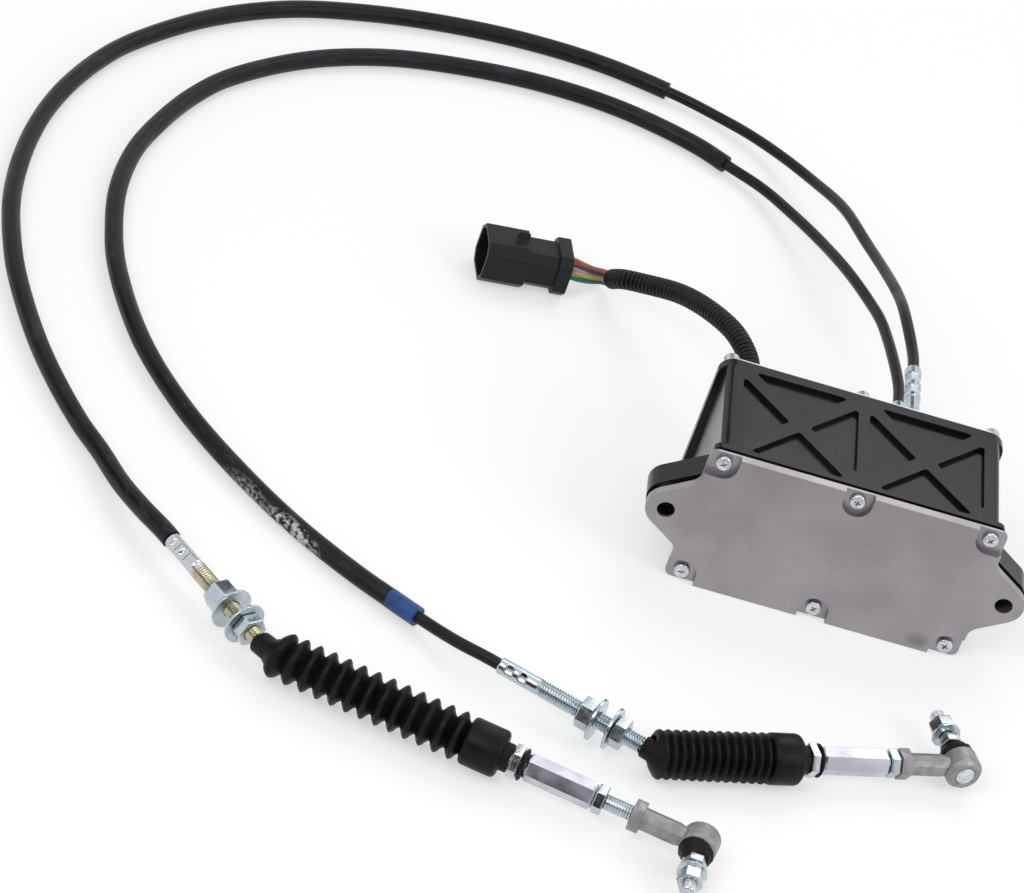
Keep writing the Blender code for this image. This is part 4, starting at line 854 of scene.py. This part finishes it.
def placeScrews():
    pattern = buildPanScrew()
    for number in range(1, 7):
        node = f"cover_screw_{number}"
        low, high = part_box(node)
        screw = pattern.copy()
        screw.data = pattern.data.copy()
        screw.name = f"panScrew{number}"
        bpy.context.scene.collection.objects.link(screw)
        seat = Vector(((low[0] + high[0]) / 2, low[1] + panScrew["height"] / 1000, (low[2] + high[2]) / 2))
        turn = Matrix.Rotation(math.radians(90), 4, "X") @ Matrix.Rotation(
            math.radians(panScrew["turns"][number - 1]), 4, "Z")
        applyPlace(screw, Matrix.Translation(seat) @ turn)
        finishPiece(screw, "screwZinc", nodes[node]["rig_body"], [node], 30)
    bpy.data.objects.remove(pattern)


placeScrews()

print("stage: threaded hubs")
hubs = {
    "crimp": 4.6, "mouth": 4.1, "bore": 3.6, "neck": 4.2, "thread": 4.85, "root": 3.95, "pitch": 1.6, "sides": 36,
    # how far along the crimp's rings, its end, the neck, the thread's start and its end from the pivot are
    "rings": [step * 0.5 for step in range(2, 46)], "crimpEnd": 24.6, "neckAt": 25.0, "threadAt": 25.4, "tip": 5.3,
    "dents": [(4.2, 9.4), (12.4, 17.4)],
    "a": {"start": (-355.4, -112.2), "heading": -48.9, "length": 91.0, "finish": "yellowZinc", "dent": 1.15,
          "share": 1.217, "slot": "yellow_zinc"},
    "b": {"start": (-172.1, -139.6), "heading": -22.6, "length": 96.9, "finish": "zincPlate", "dent": 1.35,
          "share": 1.097, "slot": "zinc"},
}
threadSteps = 5  # rings in each pitch of a thread


def hubPlace(hub, along):
    return spot(*hub["start"], axisHeight) + heading(hub["heading"]) * along / 1000


def threadRadius(along, root, crest, pitch):
    # the groove climbs one pitch in each turn
    def radius(angle):
        wave = 0.5 + 0.5 * math.cos(math.tau * (along / pitch - angle / math.tau))
        return (root + (crest - root) * wave ** 0.8) / 1000
    return radius


def dentRadius(along, plain, depth, share):
    # six pressed dents round the crimp, in two rows
    row = 0
    for low, high in hubs["dents"]:
        middle = (low + high) / 2
        row = max(row, 1 - (abs(along - middle) / ((high - low) / 2)) ** 10)

    def radius(angle):
        facet = min(1.0, 1.7 * max(0.0, math.cos(3 * angle + share * math.pi)))
        return (plain - depth * max(0, row) * facet) / 1000
    return radius


def buildHub(side):
    hub = hubs[side]
    line = heading(hub["heading"])
    low, end = hubs["threadAt"], hub["length"] - hubs["tip"]
    outline = [(0, hubs["bore"] / 1000), (0, hubs["mouth"] / 1000), (0.6, hubs["crimp"] / 1000)]
    for along in hubs["rings"]:
        outline.append((along, dentRadius(along, hubs["crimp"], hub["dent"], hub["share"])))
    outline += [(hubs["crimpEnd"], hubs["crimp"] / 1000), (hubs["neckAt"], hubs["neck"] / 1000)]
    steps = round((end - low) / hubs["pitch"] * threadSteps)
    for step in range(steps + 1):
        along = low + (end - low) * step / steps
        outline.append((along, threadRadius(along, hubs["root"], hubs["thread"], hubs["pitch"])))
    outline.append((end, hubs["bore"] / 1000))
    stations = [(hubPlace(hub, along), line, radius) for along, radius in outline]
    piece = tubeMesh(f"hub{side.upper()}", stations, hubs["sides"])
    return finishPiece(piece, hub["finish"], "base", [f"hub_{side}"], 50)


def buildThread(name, origin, degrees, low, high, root, crest, pitch, finish, body):
    # a threaded stretch of a rod, from low to high along its line
    line = heading(degrees)
    stations = [(origin + line * low / 1000, line, (root - 0.5) / 1000)]
    steps = max(8, round((high - low) / pitch * threadSteps))
    for step in range(steps + 1):
        along = low + (high - low) * step / steps
        stations.append((origin + line * along / 1000, line, threadRadius(along, root, crest, pitch)))
    stations.append((origin + line * high / 1000, line, (root - 0.5) / 1000))
    finishPiece(tubeMesh(name, stations, 28), finish, body, (), 50)


hubPieces = {side: buildHub(side) for side in "ab"}

print("stage: bellows and rod ends")
rods = {
    "a": {"rod": -13.9, "eye": 246.0, "turn": -90, "tilt": 7.5, "thread": (193.1, 207.7), "bend": (-5.9, 16.0),
          "fan": 34.0, "folds": 13, "first": 4.8, "last": 113.5, "peak": (13.3, 13.5), "valley": 8.7, "sharp": 0.75,
          "bulk": 0.22, "neck": 6.5, "neckEnd": 1.5, "capEnd": 135.0, "cap": 13.1, "end": 139.3},
    "b": {"rod": 20.3, "eye": 177.5, "turn": 90, "tilt": 0, "thread": None, "bend": (-8.8, -2.2),
          "fan": None, "folds": 13, "first": -2.2, "last": 62.0, "peak": (13.3, 13.8), "valley": 10.5, "sharp": 0.7,
          "bulk": 0.0, "neck": 6.0, "neckEnd": -4.0, "capEnd": 80.8, "cap": 14.0, "end": 85.3},
    "wall": 1.1, "sides": 48, "foldSteps": 10, "neckLip": 5.6, "neckBore": 5.3, "capBore": 4.3, "capCone": 8.4,
    "capTail": 7.8, "stemThread": (3.83, 4.3, 1.5), "studThread": (3.92, 4.2, 1.25), "studStart": 34.6,
    "studEnd": 40.3,
}
capDisc = {"radius": 5.2, "depth": 1.1, "rim": 0.6, "slope": 0.4, "rise": 0.3, "field": 3.4, "mark": 0.25,
           "sink": 0.4, "back": 7.6}


def pivotOf(side):
    return hubPlace(hubs[side], hubs[side]["length"])


def fanned(side, stop):
    # the first folds still lean towards the hub's line
    rod = rods[side]
    if rod["fan"] is None or stop >= rod["fan"]:
        return heading(rod["rod"])
    lean = ((rod["fan"] - stop) / (rod["fan"] - rod["bend"][0])) ** 1.8
    return (heading(hubs[side]["heading"]) * lean + heading(rod["rod"]) * (1 - lean)).normalized()


def bendLine(side, stop):
    # the bellows leave along the hub and come round to the rod's own line
    rod = rods[side]
    low, high = rod["bend"]
    hubLine, rodLine = heading(hubs[side]["heading"]), heading(rod["rod"])
    pivot = pivotOf(side)
    if stop >= high:
        return pivot + rodLine * stop / 1000, fanned(side, stop)
    if stop <= low or rod["fan"] is None:
        return pivot + hubLine * stop / 1000, hubLine
    t = (stop - low) / (high - low)
    s1 = 1 - t
    reach = (high - low) / 3
    ends = [hubLine * low, hubLine * (low + reach), rodLine * (high - reach), rodLine * high]
    centre = ends[0] * s1 ** 3 + ends[1] * 3 * s1 * s1 * t + ends[2] * 3 * s1 * t * t + ends[3] * t ** 3
    return pivot + centre / 1000, fanned(side, stop)


def foldLift(rod, fold, share):
    # how far a fold stands out of its valley, from 0 to 1; the first fold of fitting A is bulkier
    away = abs(share - 0.5) * 2
    lift = min(1.0, max(0.0, 1.04 - math.hypot(away, 0.2)) / 0.84)
    if away > 0.6:
        lift = lift ** (1 / rod["sharp"])
    swell = rod["bulk"] if fold == 0 else 0.0
    return lift + swell * away * (1 - away) * 4 * (1 - lift)


def bellowsOutline(rod):
    # the outside from the neck to the tail, then the inside back again
    start, neck, neckEnd = rod["bend"][0], rod["neck"], rod["neckEnd"]
    first, last, valley = rod["first"], rod["last"], rod["valley"]
    outline = [(start, rods["neckLip"]), (start, neck - 0.3), (start + 0.6, neck), (neckEnd, neck + 0.1)]
    pitch = (last - first) / rod["folds"]
    for fold in range(rod["folds"]):
        low, high = rod["peak"]
        peak = low + (high - low) * fold / (rod["folds"] - 1)
        for step in range(rods["foldSteps"]):
            share = step / rods["foldSteps"]
            outline.append((first + (fold + share) * pitch, valley + (peak - valley) * foldLift(rod, fold, share)))
    cap, capEnd, tail = rod["cap"], rod["capEnd"], rods["capTail"]
    outline += [(last, valley), (last + 0.9, cap - 1.2), (last + 1.8, cap - 0.3), (last + 3, cap)]
    outline += [(capEnd - 2.6, cap), (capEnd - 1.2, cap - 0.45), (capEnd - 0.35, cap - 1.4), (capEnd, cap - 2.6)]
    outline += [(capEnd + 0.1, rods["capCone"]), (capEnd + 0.5, tail + 0.1), (rod["end"], tail)]
    outline += [(rod["end"], rods["capBore"]), (capEnd - 3, rods["capBore"]), (capEnd - 3, valley - rods["wall"])]
    return outline + [(first + 1, 7.0), (neckEnd, rods["neckBore"]), (start, rods["neckBore"])]


def buildBellows(side):
    rod = rods[side]
    stations = [(*bendLine(side, along), radius / 1000) for along, radius in bellowsOutline(rod)]
    piece = tubeMesh(f"bellows{side.upper()}", stations, rods["sides"], loop=True)
    finishPiece(piece, "bellowsRubber", None, [f"bellows_{side}"], 60)
    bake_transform(piece)


def eyeOf(side):
    return pivotOf(side) + heading(rods[side]["rod"]) * rods[side]["eye"] / 1000


def buildCapDisc(side):
    # the pressed disc that closes the back of the ball's socket, with a small centre mark
    rod = rods[side]
    deselectAll()
    bpy.ops.mesh.primitive_cylinder_add(vertices=48, radius=capDisc["radius"] / 1000,
                                        depth=capDisc["depth"] / 1000)
    disc = bpy.context.object
    bpy.ops.object.mode_set(mode="EDIT")
    bpy.ops.mesh.select_all(action="DESELECT")
    bpy.ops.object.mode_set(mode="OBJECT")
    for face in disc.data.polygons:
        face.select = face.normal.z > 0.9
    bpy.ops.object.mode_set(mode="EDIT")
    bpy.ops.mesh.select_mode(type="FACE")
    bpy.ops.mesh.inset(thickness=capDisc["rim"] / 1000)
    bpy.ops.mesh.inset(thickness=capDisc["slope"] / 1000)
    bpy.ops.transform.translate(value=(0, 0, capDisc["rise"] / 1000))
    bpy.ops.mesh.inset(thickness=capDisc["field"] / 1000)
    bpy.ops.mesh.inset(thickness=capDisc["mark"] / 1000)
    bpy.ops.transform.translate(value=(0, 0, -capDisc["sink"] / 1000))
    bpy.ops.object.mode_set(mode="OBJECT")
    disc.name = f"socketCap{side.upper()}"
    line = rod["rod"] + rod["turn"] + 180
    applyPlace(disc, placeAlong(eyeOf(side) + heading(line) * capDisc["back"] / 1000, line))
    finishPiece(disc, "screwZinc", f"rod_{side}", (), 30, True)


for side in "ab":
    buildBellows(side)
    buildCapDisc(side)
    rod = rods[side]
    if rod["thread"]:
        buildThread(f"stemThread{side.upper()}", pivotOf(side), rod["rod"], *rod["thread"],
                    *rods["stemThread"], "zincPlate", f"rod_{side}")
    studLine = rod["rod"] + rod["turn"] + rod["tilt"]
    buildThread(f"studThread{side.upper()}", eyeOf(side), studLine, rods["studStart"], rods["studEnd"],
                *rods["studThread"], "screwZinc", f"stud_{side}")

layCables()
buildLead()

print("stage: finished")
